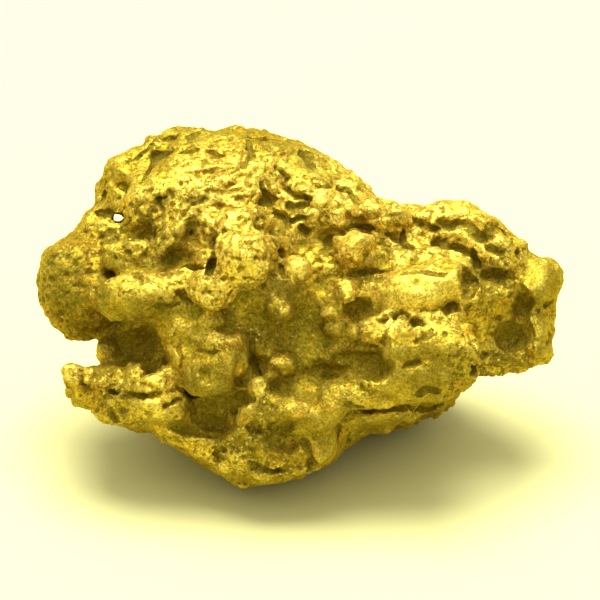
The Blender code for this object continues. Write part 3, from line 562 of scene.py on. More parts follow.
def laid_on(tree, line):
    """The line over the face, brought down on to the skin as stretches of points."""
    stretches = []
    current = []
    for (x0, y0), (x1, y1) in zip(line, line[1:]):
        parts = max(1, int(math.hypot(x1 - x0, y1 - y0) / LAID_STEP))
        for k in range(parts + (line[-1] == (x1, y1))):
            t = k / parts
            x = x0 + (x1 - x0) * t
            y = y0 + (y1 - y0) * t
            hit = tree.ray_cast(Vector((x, y, LAID_FROM)), Vector((0.0, 0.0, -1.0)))[0]
            if hit is None:
                continue
            if current and (hit - current[-1]).length > LAID_BREAK:
                stretches.append(current)
                current = []
            current.append(hit)
    stretches.append(current)
    return [np.array([tuple(p) for p in s]) for s in stretches if len(s) > 0]


def gap_to(points, line):
    """Each point's distance to a line of points."""
    best = np.full(len(points), 1e9)
    if len(line) == 1:
        return np.linalg.norm(points - line[0], axis=1)
    for a, b in zip(line, line[1:]):
        along = b - a
        t = np.clip(((points - a) @ along) / max(along @ along, 1e-12), 0.0, 1.0)
        best = np.minimum(best, np.linalg.norm(points - a - t[:, None] * along, axis=1))
    return best


def carve(obj, lines):
    """Sinks the lines into the skin. Gives back how far each point is stained by them and darkened
    as painted shade.
    """
    points = points_of(obj)
    edges = edges_of(obj)
    inward = -spread(normals_of(obj), edges, 12)
    inward /= np.linalg.norm(inward, axis=1)[:, None]
    tree = BVHTree.FromObject(obj, bpy.context.evaluated_depsgraph_get())
    ragged = points + FINE_WANDER * drift(points, 0.2, 31) + BROAD_WANDER * drift(points, 0.5, 37)
    wide = 1.0 + WIDTH_WANDER * soft_noise(points, 0.4, 41)
    sunk = np.zeros(len(points))
    stain_and_painted_shade = np.zeros(len(points))
    for half, depth, line in lines:
        for stretch in laid_on(tree, line):
            low = stretch.min(axis=0) - 2.0 * half - WALL_MARGIN
            high = stretch.max(axis=0) + 2.0 * half + WALL_MARGIN
            near = np.flatnonzero(((points > low) & (points < high)).all(axis=1))
            if not len(near):
                continue
            gap = gap_to(ragged[near], stretch) / (half * wide[near])
            sunk[near] = np.maximum(sunk[near], 0.5 * depth * (1.0 - ramp(gap, 0.45, 1.25)))
            stain_and_painted_shade[near] = np.maximum(stain_and_painted_shade[near], np.clip(1.15 - 0.5 * gap, 0.0, 1.1))
    set_points(obj, points + inward * sunk[:, None])
    return stain_and_painted_shade


dark = carve(skin, CREVICES)
carve(skin, RIDGES)

# -----------------------------------------------------------------------------
# The fine skin. The worn places are sand-blasted and sparsely pitted, the spongy ones are full
# of pin holes, and the hollows keep their first rough growth.
# -----------------------------------------------------------------------------
SKIN_TRIANGLES = 198000
# Where the skin is smooth, where it is spongy, and where the floor of a hollow lies bare.
SMOOTH = (
    (5.6, 0.4, 3.0, 0.9, 4), (5.6, -3.6, 3.0, 1.6, 4), (12.2, 1.0, 1.1, 1.4, 0),
    (10.8, -2.0, 1.0, 1.2, 0), (-7.9, -0.4, 2.5, 0.7, 4), (-4.6, -4.2, 1.0, 0.8, 0),
    (-6.0, -0.8, 1.6, 0.9, 0), (-6.8, -5.6, 1.5, 0.8, 0), (1.1, -7.0, 1.2, 1.5, -30),
    (7.8, 4.4, 1.7, 0.7, 0), (-4.0, 8.1, 2.6, 0.7, 3), (-8.2, 6.6, 1.3, 1.4, 40),
    (-0.2, 1.5, 0.7, 0.6, 0), (2.55, 2.5, 0.8, 0.8, 20), (3.2, -6.0, 1.8, 0.7, 30),
    (-0.2, -9.0, 2.2, 0.5, 10), (-6.2, 6.4, 1.3, 0.9, 0), (-0.4, 6.9, 1.4, 0.9, -20),
    (12.2, -2.2, 0.7, 1.2, 0), (-3.2, 6.6, 1.2, 0.7, 0),
)
SPONGY = (
    (-4.3, 5.1, 1.9, 2.0, 0), (-4.2, 0.7, 1.2, 1.3, 0), (-11.6, 0.6, 1.9, 2.9, 0),
    (-6.8, 4.6, 2.0, 1.2, 0), (-2.6, 2.1, 1.9, 1.6, 0), (-9.6, 2.8, 1.4, 1.0, 0),
    (-2.4, -7.2, 2.6, 1.3, -12), (-6.8, 0.8, 2.2, 0.6, 4), (8.0, -3.2, 1.0, 1.6, 0),
    (6.8, 4.6, 1.0, 0.5, 0), (-9.0, -5.2, 2.4, 0.8, -15),
)
FLOORS = (
    (-0.3, -1.4, 2.2, 2.6, 0), (2.8, -3.2, 1.7, 0.9, 0), (-3.2, -0.9, 1.0, 0.8, 0),
    (10.75, -2.0, 1.0, 1.1, 0), (-8.4, -2.3, 1.9, 1.4, 0), (-4.0, -5.7, 1.6, 1.0, -12),
    (-2.2, -3.6, 0.5, 1.7, 5), (3.6, 2.0, 0.8, 0.6, 0), (8.4, 0.9, 0.6, 0.9, 0),
    (0.5, -5.0, 1.6, 0.8, 0),
)
# Broken plates: size, how far each is tipped, how far it steps up or down, salt of the noise.
PLATES = ((1.5, 0.07, 0.06, 91), (0.75, 0.09, 0.042, 95))
# Ragged seams between the plates: size, width, depth, salt.
SEAMS = ((1.1, 0.045, 0.10, 111), (0.6, 0.05, 0.07, 115))
# Ragged pits: size, the noise they start at, depth, salt.
PITS = ((0.34, 0.22, 0.13, 101), (0.20, 0.24, 0.09, 105))
# How far round a hollow is measured, in rounds of evening out, and the depth that counts as full.
CAVITIES = (("cavity_near", 6, 0.05), ("cavity_far", 60, 0.25), ("cavity_broad", 240, 0.7))


def grains(points, grain, salt):
    """Nearest and second nearest seed: both distances, the offset to the nearest and its cell."""
    scaled = points / grain
    cell = np.floor(scaled).astype(np.int64)
    near = np.full(len(points), 9.0)
    second = np.full(len(points), 9.0)
    offset = np.zeros((len(points), 3))
    owner = np.zeros((len(points), 3), np.int64)
    for dx in (-1, 0, 1):
        for dy in (-1, 0, 1):
            for dz in (-1, 0, 1):
                here = cell + np.array([dx, dy, dz])
                seed = here + np.stack([chance(here, salt + k) for k in range(3)], axis=1)
                gap = scaled - seed
                far = np.sqrt((gap * gap).sum(axis=1))
                closer = far < near
                second = np.where(closer, near, np.minimum(second, far))
                near = np.where(closer, far, near)
                offset[closer] = gap[closer]
                owner[closer] = here[closer]
    return near * grain, second * grain, offset * grain, owner


def character(points, outward):
    """How smooth, broken, torn and spongy the skin is at each point."""
    front = ramp(outward[:, 2], -0.4, 0.0)
    behind = 1.0 - front
    wander = ramp(soft_noise(points, 2.2, 71), -0.2, 0.5)
    smooth = front * patch(points, SMOOTH) + behind * (1.0 - wander) * 0.7
    broken = front * patch(points, BROKEN) + behind * wander
    torn = front * patch(points, TORN) + behind * wander * 0.6
    spongy = front * patch(points, SPONGY) + behind * ramp(soft_noise(points, 2.6, 73), 0.2, 0.6)
    return smooth, broken, torn, spongy


def roughen(obj, dark):
    """Breaks the skin into plates, seams and pits. Gives back how dark and how pale it is."""
    points = points_of(obj)
    edges = edges_of(obj)
    outward = spread(normals_of(obj), edges, 3)
    outward /= np.linalg.norm(outward, axis=1)[:, None]
    smooth, broken, torn, spongy = character(points, outward)
    bare = patch(points, FLOORS, 0.4) * ramp(outward[:, 2], -0.4, 0.0)
    calm = np.maximum(smooth * (1.0 - 0.6 * broken), 0.5 * bare)
    base = 1.0 - 0.4 * calm
    quieter = base * (1.0 - 0.5 * broken)
    lift = 0.06 * quieter * layered(points, 0.9, 81, 3)
    lift += 0.055 * quieter * layered(points + 0.2 * drift(points, 0.4, 83), 0.32, 85, 3)
    lift += 0.11 * bare * layered(points, 0.6, 89, 3)
    lift += 0.03 * (1.0 - 0.5 * calm) * (1.0 - 0.5 * broken) * soft_noise(points, 0.13, 87)
    pale = np.zeros(len(points))
    lying = points * np.array([1.0, 1.5, 1.0])
    for grain, tip, step, salt in PLATES:
        bent = lying + 0.35 * grain * drift(points, grain * 0.5, salt + 50)
        near, second, offset, owner = grains(bent, grain, salt)
        tilt = np.stack([chance(owner, salt + 3 + k) - 0.5 for k in range(3)], axis=1) * 2.0
        plate = tip * (tilt * offset).sum(axis=1) + step * (2.0 * chance(owner, salt + 7) - 1.0)
        open_here = ramp(soft_noise(points, 0.8, salt + 11), -0.1, 0.15)
        gap = (1.0 - ramp(second - near, 0.05 * grain, 0.15 * grain)) * open_here
        line = np.clip(1.0 - (second - near) / (0.22 * grain), 0.0, 1.0) * open_here
        amount = np.clip(0.6 * broken + 0.8 * torn + 0.45 * base, 0.0, 1.0) * base
        lift += amount * (plate - 1.6 * step * gap)
        dark = np.maximum(dark, line * np.clip(0.45 + 0.4 * broken + 0.3 * torn, 0.0, 1.0) * base)
        pale += 0.5 * (2.0 * chance(owner, salt + 8) - 1.0) * amount
    for grain, wide, deep, salt in SEAMS:
        level = layered(lying, grain, salt, 3)
        here = ramp(soft_noise(points, 1.3 * grain, salt + 2), 0.08, 0.25)
        seam = (1.0 - ramp(np.abs(level), 0.5 * wide, 1.3 * wide)) * here
        amount = np.clip(0.6 * broken + 0.4 * torn + 0.5, 0.0, 1.0) * base
        lift -= deep * seam * amount
        line = np.clip(1.0 - np.abs(level) / (2.4 * wide), 0.0, 1.0) * here
        dark = np.maximum(dark, line * np.clip(0.55 + 0.4 * amount, 0.0, 1.0) * base)
    for grain, least, deep, salt in PITS:
        level = layered(points, grain, salt, 2)
        odds = np.clip(spongy + 0.3 * torn + 0.35 * base * (1.0 - 0.8 * broken), 0.0, 1.0)
        rarer = 0.42 * (1.0 - odds)
        hole = ramp(level, least + rarer, least + 0.16 + rarer)
        hole = hole * (1.0 - 0.4 * bare)
        lift -= deep * hole
        stain = np.clip(0.5 + (level - least - rarer - 0.06) / 0.3, 0.0, 0.9)
        dark = np.maximum(dark, stain * (1.0 - 0.6 * bare))
    set_points(obj, points + outward * lift[:, None])
    return dark, pale


def nearest_of(obj, before, values):
    """Values kept for the points of an earlier mesh, read off at this one's points."""
    tree = KDTree(len(before))
    for number, place in enumerate(before.tolist()):
        tree.insert(place, number)
    tree.balance()
    owner = np.array([tree.find(place)[1] for place in points_of(obj).tolist()])
    return [value[owner] for value in values]


def keep_largest(obj):
    """Drops crumbs that no longer touch the lump."""
    edges = edges_of(obj)
    count = len(obj.data.vertices)
    label = np.arange(count)
    while True:
        low = np.minimum(label[edges[:, 0]], label[edges[:, 1]])
        before = label.copy()
        np.minimum.at(label, edges[:, 0], low)
        np.minimum.at(label, edges[:, 1], low)
        label = label[label]
        if (label == before).all():
            break
    names, sizes = np.unique(label, return_counts=True)
    keep = label == names[sizes.argmax()]
    if keep.all():
        return
    pick_only(obj)
    bpy.ops.object.mode_set(mode="EDIT")
    bpy.ops.mesh.select_mode(type="VERT")
    bpy.ops.mesh.select_all(action="DESELECT")
    bpy.ops.object.mode_set(mode="OBJECT")
    obj.data.vertices.foreach_set("select", ~keep)
    bpy.ops.object.mode_set(mode="EDIT")
    bpy.ops.mesh.delete(type="VERT")
    bpy.ops.object.mode_set(mode="OBJECT")


def store(obj, name, value):
    """Keeps a value for each point, for the finish to read."""
    kept = obj.data.attributes.new(name, "FLOAT", "POINT")
    kept.data.foreach_set("value", value.astype(np.float32))


def mark(obj):
    """Stores what each point is like and how deep in a hollow it lies, near by and far."""
    points = points_of(obj)
    normals = normals_of(obj)
    edges = edges_of(obj)
    even = points
    for name, rounds, full in CAVITIES:
        even = spread(even, edges, rounds)
        depth = ((even - points) * normals).sum(axis=1) / full
        store(obj, name, np.clip(depth, -1.0, 1.0))
    outward = spread(normals, edges, 3)
    floor = patch(points, FLOORS, 0.4) * ramp(outward[:, 2], -0.4, 0.0)
    smooth, _, torn, spongy = character(points, outward)
    inks = nearest_of(obj, roughened, (dark, pale))
    names = ("smooth", "torn", "spongy", "floor", "dark", "pale")
    for name, value in zip(names, (smooth, torn, spongy, floor, *inks)):
        store(obj, name, value)


dark, pale = roughen(skin, dark)
roughened = points_of(skin)
fuse(skin, SKIN_GRAIN)
triangles = sum(len(p.vertices) - 2 for p in skin.data.polygons)
press(skin, "DECIMATE", ratio=min(1.0, SKIN_TRIANGLES / max(1, triangles)))
keep_largest(skin)
mark(skin)
skin.data.transform(Matrix.Scale(MM, 4) @ FACE_TO_WORLD)
resting = points_of(skin)
resting[:, 2] = np.maximum(resting[:, 2], 0.0)
set_points(skin, resting)
pick_only(skin)
bpy.ops.object.shade_smooth()

# -----------------------------------------------------------------------------
# The finish. Bare gold is rubbed bright on the high places, and painted light brightens chosen
# places further. Soil, iron stain and a thin brown film stay on it everywhere else, most in the
# pits, cracks and hollows. The film is also painted shade on shaded places and on every face that
# looks down, and the cracks are darkened further as painted shade.
# -----------------------------------------------------------------------------
DULL_GOLD = (0.52, 0.35, 0.020)
PALE_GOLD = (0.66, 0.485, 0.055)
WARM_GOLD = (0.54, 0.345, 0.015)
EDGE_GOLD = (0.69, 0.53, 0.072)
PAINTED_LIGHT_AND_RUBBED_GOLD = (0.80, 0.615, 0.10)
GLINT_GOLD = (0.80, 0.65, 0.15)
BROWN_FILM_AND_PAINTED_SHADE = (0.22, 0.163, 0.009)
BASIN_SOIL = (0.37, 0.28, 0.016)
HOLLOW_SOIL = (0.33, 0.245, 0.014)
PIT_SOIL = (0.285, 0.218, 0.010)
CRACK_SOIL_AND_PAINTED_SHADE = (0.205, 0.148, 0.007)
DEEP_SOIL_AND_PAINTED_SHADE = (0.14, 0.104, 0.005)
RUST_STAIN = (0.50, 0.27, 0.016)
METAL_TINT = (0.95, 0.75, 0.25, 1.0)
CLEAN_METALLIC = 0.9
DIRTY_METALLIC = 0.35
LOW_ROUGHNESS = 0.51
HIGH_ROUGHNESS = 0.63
DIRT_ROUGHNESS = 0.22
GRAIN_HEIGHT = 0.00015
# Where a dull film of iron stain covers the gold, partly as painted shade, and where it is rubbed
# clean and painted lighter: centre, half sizes, turn and strength.
FILM_AND_PAINTED_SHADE_SPOTS = (
    (6.2, -3.6, 2.8, 1.8, 0, 0.85), (-11.2, 0.0, 2.0, 2.8, 0, 1.0), (-11.4, 2.2, 1.9, 1.2, 20, 0.8),
    (-4.5, -4.0, 1.5, 1.3, 0, 0.95), (-4.3, -2.3, 2.0, 1.2, 0, 1.0), (6.3, -3.4, 3.0, 2.0, 0, 0.75),
    (-1.4, -6.4, 3.4, 2.2, 0, 0.8), (-1.2, -6.6, 3.2, 2.0, 0, 0.5), (1.4, -6.4, 1.6, 2.2, -20, 0.7),
    (10.9, -2.0, 1.6, 1.6, 0, 0.9), (-0.3, -2.2, 2.6, 3.6, 0, 0.8), (-8.4, -2.3, 2.2, 1.6, 0, 0.25),
    (-6.2, -1.4, 1.4, 1.4, 0, 0.45), (2.7, -3.25, 2.0, 1.0, 0, 1.0), (0.2, -2.4, 1.8, 2.4, 0, 1.0),
    (-1.1, -6.7, 1.2, 0.9, 0, 1.0), (-4.0, -5.8, 2.2, 1.2, 0, 0.6), (9.2, 0.6, 1.6, 1.4, 0, 0.55),
    (-7.6, -0.5, 2.6, 0.8, 0, 0.95), (-6.4, 0.8, 2.6, 0.7, 0, 0.3), (2.9, -0.5, 0.7, 0.65, 0, 0.8),
    (11.1, -0.3, 0.7, 0.9, 0, 0.9), (8.4, 0.95, 0.6, 0.95, 0, 1.0), (9.8, 1.2, 0.75, 0.45, 0, 1.0),
    (-10.0, -4.0, 2.4, 1.0, -10, 0.65), (-6.8, -6.1, 2.0, 0.7, -15, 0.15),
    (-8.8, 2.3, 2.0, 1.0, 0, 0.7), (12.2, 0.8, 1.3, 1.8, 0, 0.7), (2.2, -4.5, 2.2, 0.5, 0, 0.5),
    (-3.0, 8.1, 5.0, 1.2, 0, 0.7), (-7.6, 6.8, 1.6, 1.4, 0, 0.45), (-9.8, 5.4, 0.9, 2.0, -25, 0.5),
    (0.5, 7.0, 0.6, 0.8, 0, 0.9), (5.1, 4.5, 0.9, 0.5, 0, 0.9), (9.8, -3.4, 1.6, 1.0, 0, 0.5),
    (3.4, -5.8, 2.6, 0.5, 5, 0.6), (-6.7, 2.6, 1.6, 0.8, 0, 0.4), (12.3, -2.4, 0.8, 1.2, 0, 0.6),
    (-2.0, -8.6, 2.6, 0.6, 8, 0.4), (-9.4, -5.2, 2.6, 1.0, -15, 0.55), (1.4, 2.7, 0.6, 0.9, 0, 0.9),
    (3.8, 1.9, 0.9, 0.7, 0, 0.9), (-1.0, 1.2, 0.5, 1.0, 0, 0.9), (-7.1, 3.2, 0.7, 0.7, 0, 1.0),
    (-5.35, 3.55, 0.65, 0.4, 0, 1.0), (-6.3, 2.3, 0.8, 0.4, 0, 1.0), (-4.3, 2.4, 0.4, 0.85, 0, 1.0),
    (3.4, -1.3, 0.7, 0.5, 0, 1.0), (5.3, -2.05, 0.9, 0.35, 0, 1.0), (11.6, 1.3, 0.5, 0.5, 0, 0.6),
    (-1.7, -3.9, 0.5, 0.4, 0, 0.8), (1.2, -4.5, 1.5, 0.6, 0, 0.9), (-11.2, 2.6, 1.3, 0.6, 15, 1.0),
    (-0.8, -4.3, 0.5, 0.6, 0, 1.0), (0.4, 1.0, 1.4, 0.4, 0, 0.8), (7.3, -2.2, 1.6, 0.8, 0, 0.5),
)
RUBBED_AND_PAINTED_LIGHT_SPOTS = (
    (-4.2, 5.0, 2.2, 2.4, 0, 1.0), (-2.6, 2.2, 2.0, 1.7, 0, 1.0), (3.2, 4.3, 3.8, 1.8, -30, 1.0),
    (-0.4, 5.2, 2.4, 2.0, 0, 0.6), (5.4, 0.4, 3.0, 1.0, 4, 0.6), (4.8, -0.95, 2.4, 0.55, 0, 1.0),
    (2.6, 2.5, 0.8, 0.7, 0, 1.0), (-0.2, 1.5, 0.7, 0.6, 0, 1.0), (7.6, 4.3, 1.8, 0.7, 0, 0.6),
    (8.6, 2.4, 2.4, 0.9, -15, 0.6), (-4.2, 0.8, 1.1, 1.1, 0, 0.7), (-6.6, 1.1, 2.4, 0.5, 4, 0.5),
    (2.3, 0.5, 0.5, 0.6, 0, 0.8), (-11.4, -3.6, 1.0, 0.5, 0, 0.7), (-7.4, -4.1, 1.6, 0.5, 0, 0.5),
    (-7.4, 5.0, 1.5, 0.5, 0, 0.8), (-1.5, 5.3, 1.2, 0.8, 0, 0.9), (1.5, 4.0, 1.6, 0.5, 0, 1.0),
    (-6.0, 2.9, 0.6, 0.35, 0, 0.8), (-7.6, 1.9, 0.9, 0.4, 0, 0.8), (-4.0, -1.8, 1.2, 0.25, -8, 1.0),
    (-4.0, -7.9, 1.2, 0.4, -20, 0.7), (3.6, 2.6, 0.8, 0.4, 0, 0.8),
    (-4.4, -9.0, 1.2, 0.4, -20, 0.5), (0.3, 4.0, 0.8, 0.5, 0, 0.9), (0.1, 2.8, 0.8, 0.5, 0, 0.8),
    (9.6, 2.0, 0.8, 0.3, -10, 0.8), (-2.15, -4.75, 0.4, 0.8, -15, 0.6),
    (-6.1, -4.7, 0.6, 0.3, 0, 0.6), (-7.4, -5.5, 1.2, 0.7, 0, 0.5), (-3.0, 5.8, 2.6, 1.4, 0, 0.6),
    (0.0, -5.5, 0.6, 0.4, 0, 0.8), (-0.9, -0.4, 0.6, 0.4, -30, 0.4),
    (1.3, -0.75, 0.6, 0.2, -5, 1.0), (-0.8, -3.2, 0.6, 0.3, -10, 0.5),
    (-3.4, -7.8, 1.0, 0.4, -20, 0.8),
)


def laid(points, spots):
    """The strength of the spots at each point, soft and ragged at their edges."""
    total = np.zeros(len(points))
    for *spot, strength in spots:
        total = np.maximum(total, strength * patch(points, (spot,), 0.55))
    return total


to_face = np.array(FACE_TO_WORLD.inverted() @ Matrix.Scale(1.0 / MM, 4))
on_face = points_of(skin) @ to_face[:3, :3].T + to_face[:3, 3]
upward = normals_of(skin)
towards = upward @ (to_face[:3, :3] * MM).T
front = ramp(towards[:, 2], -0.4, 0.1)
# The film spots: partly iron stain, partly painted shade on places that lie in shade.
laid_film_and_painted_shade = front * laid(on_face, FILM_AND_PAINTED_SHADE_SPOTS)
laid_film_and_painted_shade += (1.0 - front) * 0.7 * ramp(soft_noise(on_face, 2.4, 121), -0.3, 0.6)
# Painted shade: every face that looks downwards carries film.
laid_film_and_painted_shade = np.maximum(laid_film_and_painted_shade, 0.7 * ramp(-upward[:, 2], 0.0, 0.8))
store(skin, "film_and_painted_shade", laid_film_and_painted_shade)
# The rubbed spots: partly water wear, partly painted light on places that face away from the light.
store(skin, "rubbed_and_painted_light", front * laid(on_face, RUBBED_AND_PAINTED_LIGHT_SPOTS))

gold = bpy.data.materials.new("native_gold")
gold.use_nodes = True
graph = gold.node_tree
shader = graph.nodes["Principled BSDF"]


def node(kind, **settings):
    made = graph.nodes.new(kind)
    for name, value in settings.items():
        setattr(made, name, value)
    return made


on_object = node("ShaderNodeTexCoord").outputs["Object"]


def attribute(name):
    return node("ShaderNodeAttribute", attribute_name=name).outputs["Fac"]


def mapped(value, low, high, to_low=0.0, to_high=1.0):
    made = node("ShaderNodeMapRange", interpolation_type="SMOOTHSTEP")
    graph.links.new(value, made.inputs["Value"])
    made.inputs["From Min"].default_value = low
    made.inputs["From Max"].default_value = high
    made.inputs["To Min"].default_value = to_low
    made.inputs["To Max"].default_value = to_high
    return made.outputs["Result"]


def mixed(factor, a, b):
    made = node("ShaderNodeMix", data_type="RGBA")
    graph.links.new(factor, made.inputs["Factor"])
    for value, socket in ((a, made.inputs["A"]), (b, made.inputs["B"])):
        if isinstance(value, tuple):
            socket.default_value = (*value, 1.0)
        else:
            graph.links.new(value, socket)
    return made.outputs["Result"]


def noise(scale, detail=4.0, roughness=0.6, distortion=0.0):
    """A noise that stays on the metal. A scale of 1000 gives a grain of about 1 mm."""
    made = node("ShaderNodeTexNoise")
    graph.links.new(on_object, made.inputs["Vector"])
    made.inputs["Scale"].default_value = scale
    made.inputs["Detail"].default_value = detail
    made.inputs["Roughness"].default_value = roughness
    made.inputs["Distortion"].default_value = distortion
    return made.outputs["Fac"]


def math_of(kind, *values):
    made = node("ShaderNodeMath", operation=kind)
    for socket, value in zip(made.inputs, values):
        if isinstance(value, float):
            socket.default_value = value
        else:
            graph.links.new(value, socket)
    return made.outputs["Value"]


def seams(scale, width, gate_scale, gate_low, gate_high):
    """Hairline cracks where a noise passes its middle, with gaps between them."""
    off = math_of("ABSOLUTE", math_of("SUBTRACT", noise(scale, 3.0, 0.6, 0.5), 0.5))
    gate = mapped(noise(gate_scale, 2.0), gate_low, gate_high)
    wide = math_of("MULTIPLY_ADD", gate, width, 0.001)
    return mapped(math_of("DIVIDE", off, wide), 1.25, 0.35)


# What lies in the low places and shows on the high ones.
hollow = mapped(attribute("cavity_far"), 0.1, 0.9)
basin = mapped(attribute("cavity_broad"), 0.0, 0.9)
pit = mapped(attribute("cavity_near"), 0.15, 0.8)
edge = mapped(attribute("cavity_near"), -0.15, -0.8)
sponge = attribute("spongy")
bare = attribute("floor")
stain_and_painted_shade = attribute("dark")
ragged = math_of("MULTIPLY_ADD", noise(6000.0, 2.0), 0.5, -0.25)
frayed = math_of("ADD", stain_and_painted_shade, ragged)
ink = mapped(frayed, 0.54, 0.64)
ink = math_of("MULTIPLY", ink, mapped(attribute("rubbed_and_painted_light"), 0.0, 1.0, 1.0, 0.65))
fine = seams(2800.0, 0.040, 1400.0, 0.46, 0.62)
specks = mapped(noise(6500.0, 2.0, 0.5), 0.35, 0.30)
solid = math_of("SUBTRACT", 1.0, sponge)
calm = math_of("MAXIMUM", math_of("MULTIPLY", attribute("smooth"), solid), bare)
quiet = mapped(calm, 0.0, 1.0, 0.85, 0.45)
cracks = math_of("MULTIPLY", math_of("MAXIMUM", fine, specks), quiet)
cracks = math_of("MAXIMUM", cracks, ink)
blotches = mapped(noise(1100.0, 3.0), 0.3, 0.6, 0.68, 1.0)
film_and_painted_shade = math_of("MULTIPLY", attribute("film_and_painted_shade"), blotches)
scuffs = mapped(noise(900.0, 3.0), 0.35, 0.55, 0.5, 1.0)
rubbed_and_painted_light = math_of("MULTIPLY", attribute("rubbed_and_painted_light"), scuffs)

# The colours, laid over one another from the bare metal to the deepest soil.
tone = math_of("MULTIPLY_ADD", attribute("pale"), 0.5, noise(500.0, 3.0))
colour = mixed(mapped(tone, 0.2, 0.8), DULL_GOLD, PALE_GOLD)
colour = mixed(mapped(noise(260.0), 0.55, 0.72), colour, WARM_GOLD)
colour = mixed(edge, colour, EDGE_GOLD)
# Brown film, partly iron stain and partly painted shade.
colour = mixed(film_and_painted_shade, colour, BROWN_FILM_AND_PAINTED_SHADE)
# Rubbed gold, partly water wear and partly painted light.
colour = mixed(math_of("MULTIPLY", rubbed_and_painted_light, 0.9), colour, PAINTED_LIGHT_AND_RUBBED_GOLD)
colour = mixed(basin, colour, BASIN_SOIL)
colour = mixed(hollow, colour, HOLLOW_SOIL)
colour = mixed(pit, colour, PIT_SOIL)
rust = math_of("MULTIPLY", mapped(frayed, 0.22, 0.42), mapped(noise(420.0), 0.45, 0.6))
colour = mixed(math_of("MULTIPLY", rust, 0.6), colour, RUST_STAIN)
# Soil in the cracks, darkened further as painted shade.
colour = mixed(math_of("MULTIPLY", cracks, 0.9), colour, CRACK_SOIL_AND_PAINTED_SHADE)
# Painted glints: specks of paler gold on the torn leaves, bare floors and spongy places.
grainy = math_of("MULTIPLY", math_of("MAXIMUM", bare, sponge), 0.45)
glinting = math_of("MAXIMUM", attribute("torn"), grainy)
glint = math_of("MULTIPLY", mapped(noise(5000.0, 2.0), 0.60, 0.68), glinting)
colour = mixed(math_of("MULTIPLY", glint, 0.8), colour, GLINT_GOLD)
# Painted shade with soil: a darker core down the middle of the crevices.
core = mapped(math_of("MULTIPLY_ADD", ragged, 0.5, stain_and_painted_shade), 0.86, 0.96)
colour = mixed(math_of("MULTIPLY", core, 0.85), colour, DEEP_SOIL_AND_PAINTED_SHADE)
mottled = node("ShaderNodeVectorMath", operation="SCALE")
graph.links.new(colour, mottled.inputs["Vector"])
graph.links.new(mapped(noise(8000.0, 3.0, 0.75), 0.32, 0.68, 0.63, 1.32), mottled.inputs["Scale"])
graph.links.new(mottled.outputs["Vector"], shader.inputs["Base Color"])

# Soil is duller than metal, and both are finely grained.
dirt = math_of("MAXIMUM", math_of("MAXIMUM", hollow, pit), cracks)
dirt = math_of("MAXIMUM", dirt, math_of("MULTIPLY", film_and_painted_shade, 0.35))
metallic = mapped(dirt, 0.1, 1.0, CLEAN_METALLIC, DIRTY_METALLIC)
graph.links.new(metallic, shader.inputs["Metallic"])
rubbing = mapped(noise(1500.0), 0.3, 0.7, LOW_ROUGHNESS, HIGH_ROUGHNESS)
matt = math_of("MULTIPLY_ADD", dirt, DIRT_ROUGHNESS, rubbing)
graph.links.new(matt, shader.inputs["Roughness"])
shader.inputs["Specular Tint"].default_value = METAL_TINT
height = math_of("MULTIPLY", noise(3800.0, 1.5, 0.5), 0.6)
height = math_of("MULTIPLY_ADD", cracks, -0.5, height)
bump = node("ShaderNodeBump")
bump.inputs["Strength"].default_value = 1.0
bump.inputs["Distance"].default_value = GRAIN_HEIGHT
graph.links.new(height, bump.inputs["Height"])
graph.links.new(bump.outputs["Normal"], shader.inputs["Normal"])
skin.data.materials.clear()
skin.data.materials.append(gold)

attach(skin, "root")
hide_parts("gold_nugget")

# -----------------------------------------------------------------------------
# The stage. A pale sheet of paper under the nugget, a broad soft light above it, and a camera
# that looks down on its broad face.
# -----------------------------------------------------------------------------
PAPER_COLOUR = (0.66, 0.645, 0.29, 1.0)
SKY_LOW = (0.21, 0.205, 0.17, 1.0)
SKY_HIGH = (1.6, 1.58, 1.4, 1.0)
LIGHT_COLOUR = (1.0, 0.99, 0.93)
CAMERA_RISE = math.radians(32)
CAMERA_DISTANCE = 0.4
CAMERA_SENSOR = 36.0
VIEW_WIDTH = 0.030

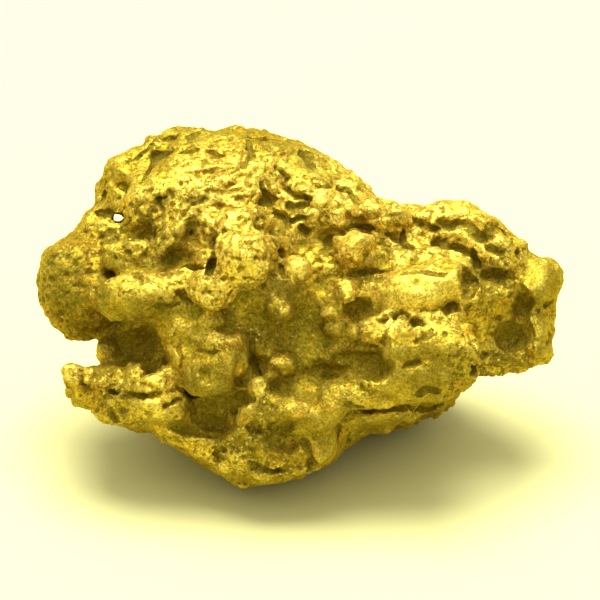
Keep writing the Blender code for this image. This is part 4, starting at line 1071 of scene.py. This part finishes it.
bpy.ops.mesh.primitive_plane_add(size=1.2)
floor = bpy.context.object
floor.name = "floor"
paper = bpy.data.materials.new("paper")
paper.use_nodes = True
sheet = paper.node_tree.nodes["Principled BSDF"]
sheet.inputs["Base Color"].default_value = PAPER_COLOUR
sheet.inputs["Roughness"].default_value = 0.9
floor.data.materials.append(paper)

world = bpy.data.worlds.new("studio")
bpy.context.scene.world = world
world.use_nodes = True
sky = world.node_tree
ground = sky.nodes["Background"]
ground.inputs["Strength"].default_value = 1.0
way = sky.nodes.new("ShaderNodeTexCoord")
split = sky.nodes.new("ShaderNodeSeparateXYZ")
shade = sky.nodes.new("ShaderNodeValToRGB")
sky.links.new(way.outputs["Generated"], split.inputs["Vector"])
sky.links.new(split.outputs["Z"], shade.inputs["Fac"])
sky.links.new(shade.outputs["Color"], ground.inputs["Color"])
shade.color_ramp.elements[0].position = 0.0
shade.color_ramp.elements[0].color = SKY_LOW
shade.color_ramp.elements[1].position = 1.0
shade.color_ramp.elements[1].color = SKY_HIGH


def soft_light(name, place, size, power, target=(0.0, 0.0, 0.008)):
    light = bpy.data.lights.new(name, "AREA")
    light.shape = "DISK"
    light.size = size
    light.energy = power
    light.color = LIGHT_COLOUR
    lamp = bpy.data.objects.new(name, light)
    lamp.location = place
    lamp.rotation_euler = (Vector(target) - Vector(place)).to_track_quat("-Z", "Y").to_euler()
    bpy.context.scene.collection.objects.link(lamp)


soft_light("overhead", (-0.02, 0.05, 0.285), 0.23, 1.72)

camera = bpy.data.cameras.new("camera")
camera.sensor_width = CAMERA_SENSOR
camera.lens = CAMERA_SENSOR * CAMERA_DISTANCE / VIEW_WIDTH
camera.clip_start = 0.01
camera.clip_end = 10.0
view = bpy.data.objects.new("camera", camera)
aim = FACE_ORIGIN * MM
backward = Vector((0.0, -math.cos(CAMERA_RISE), math.sin(CAMERA_RISE)))
view.location = aim + CAMERA_DISTANCE * backward
view.rotation_euler = (aim - view.location).to_track_quat("-Z", "Y").to_euler()
bpy.context.scene.collection.objects.link(view)
bpy.context.scene.camera = view
bpy.context.scene.view_settings.view_transform = "Standard"
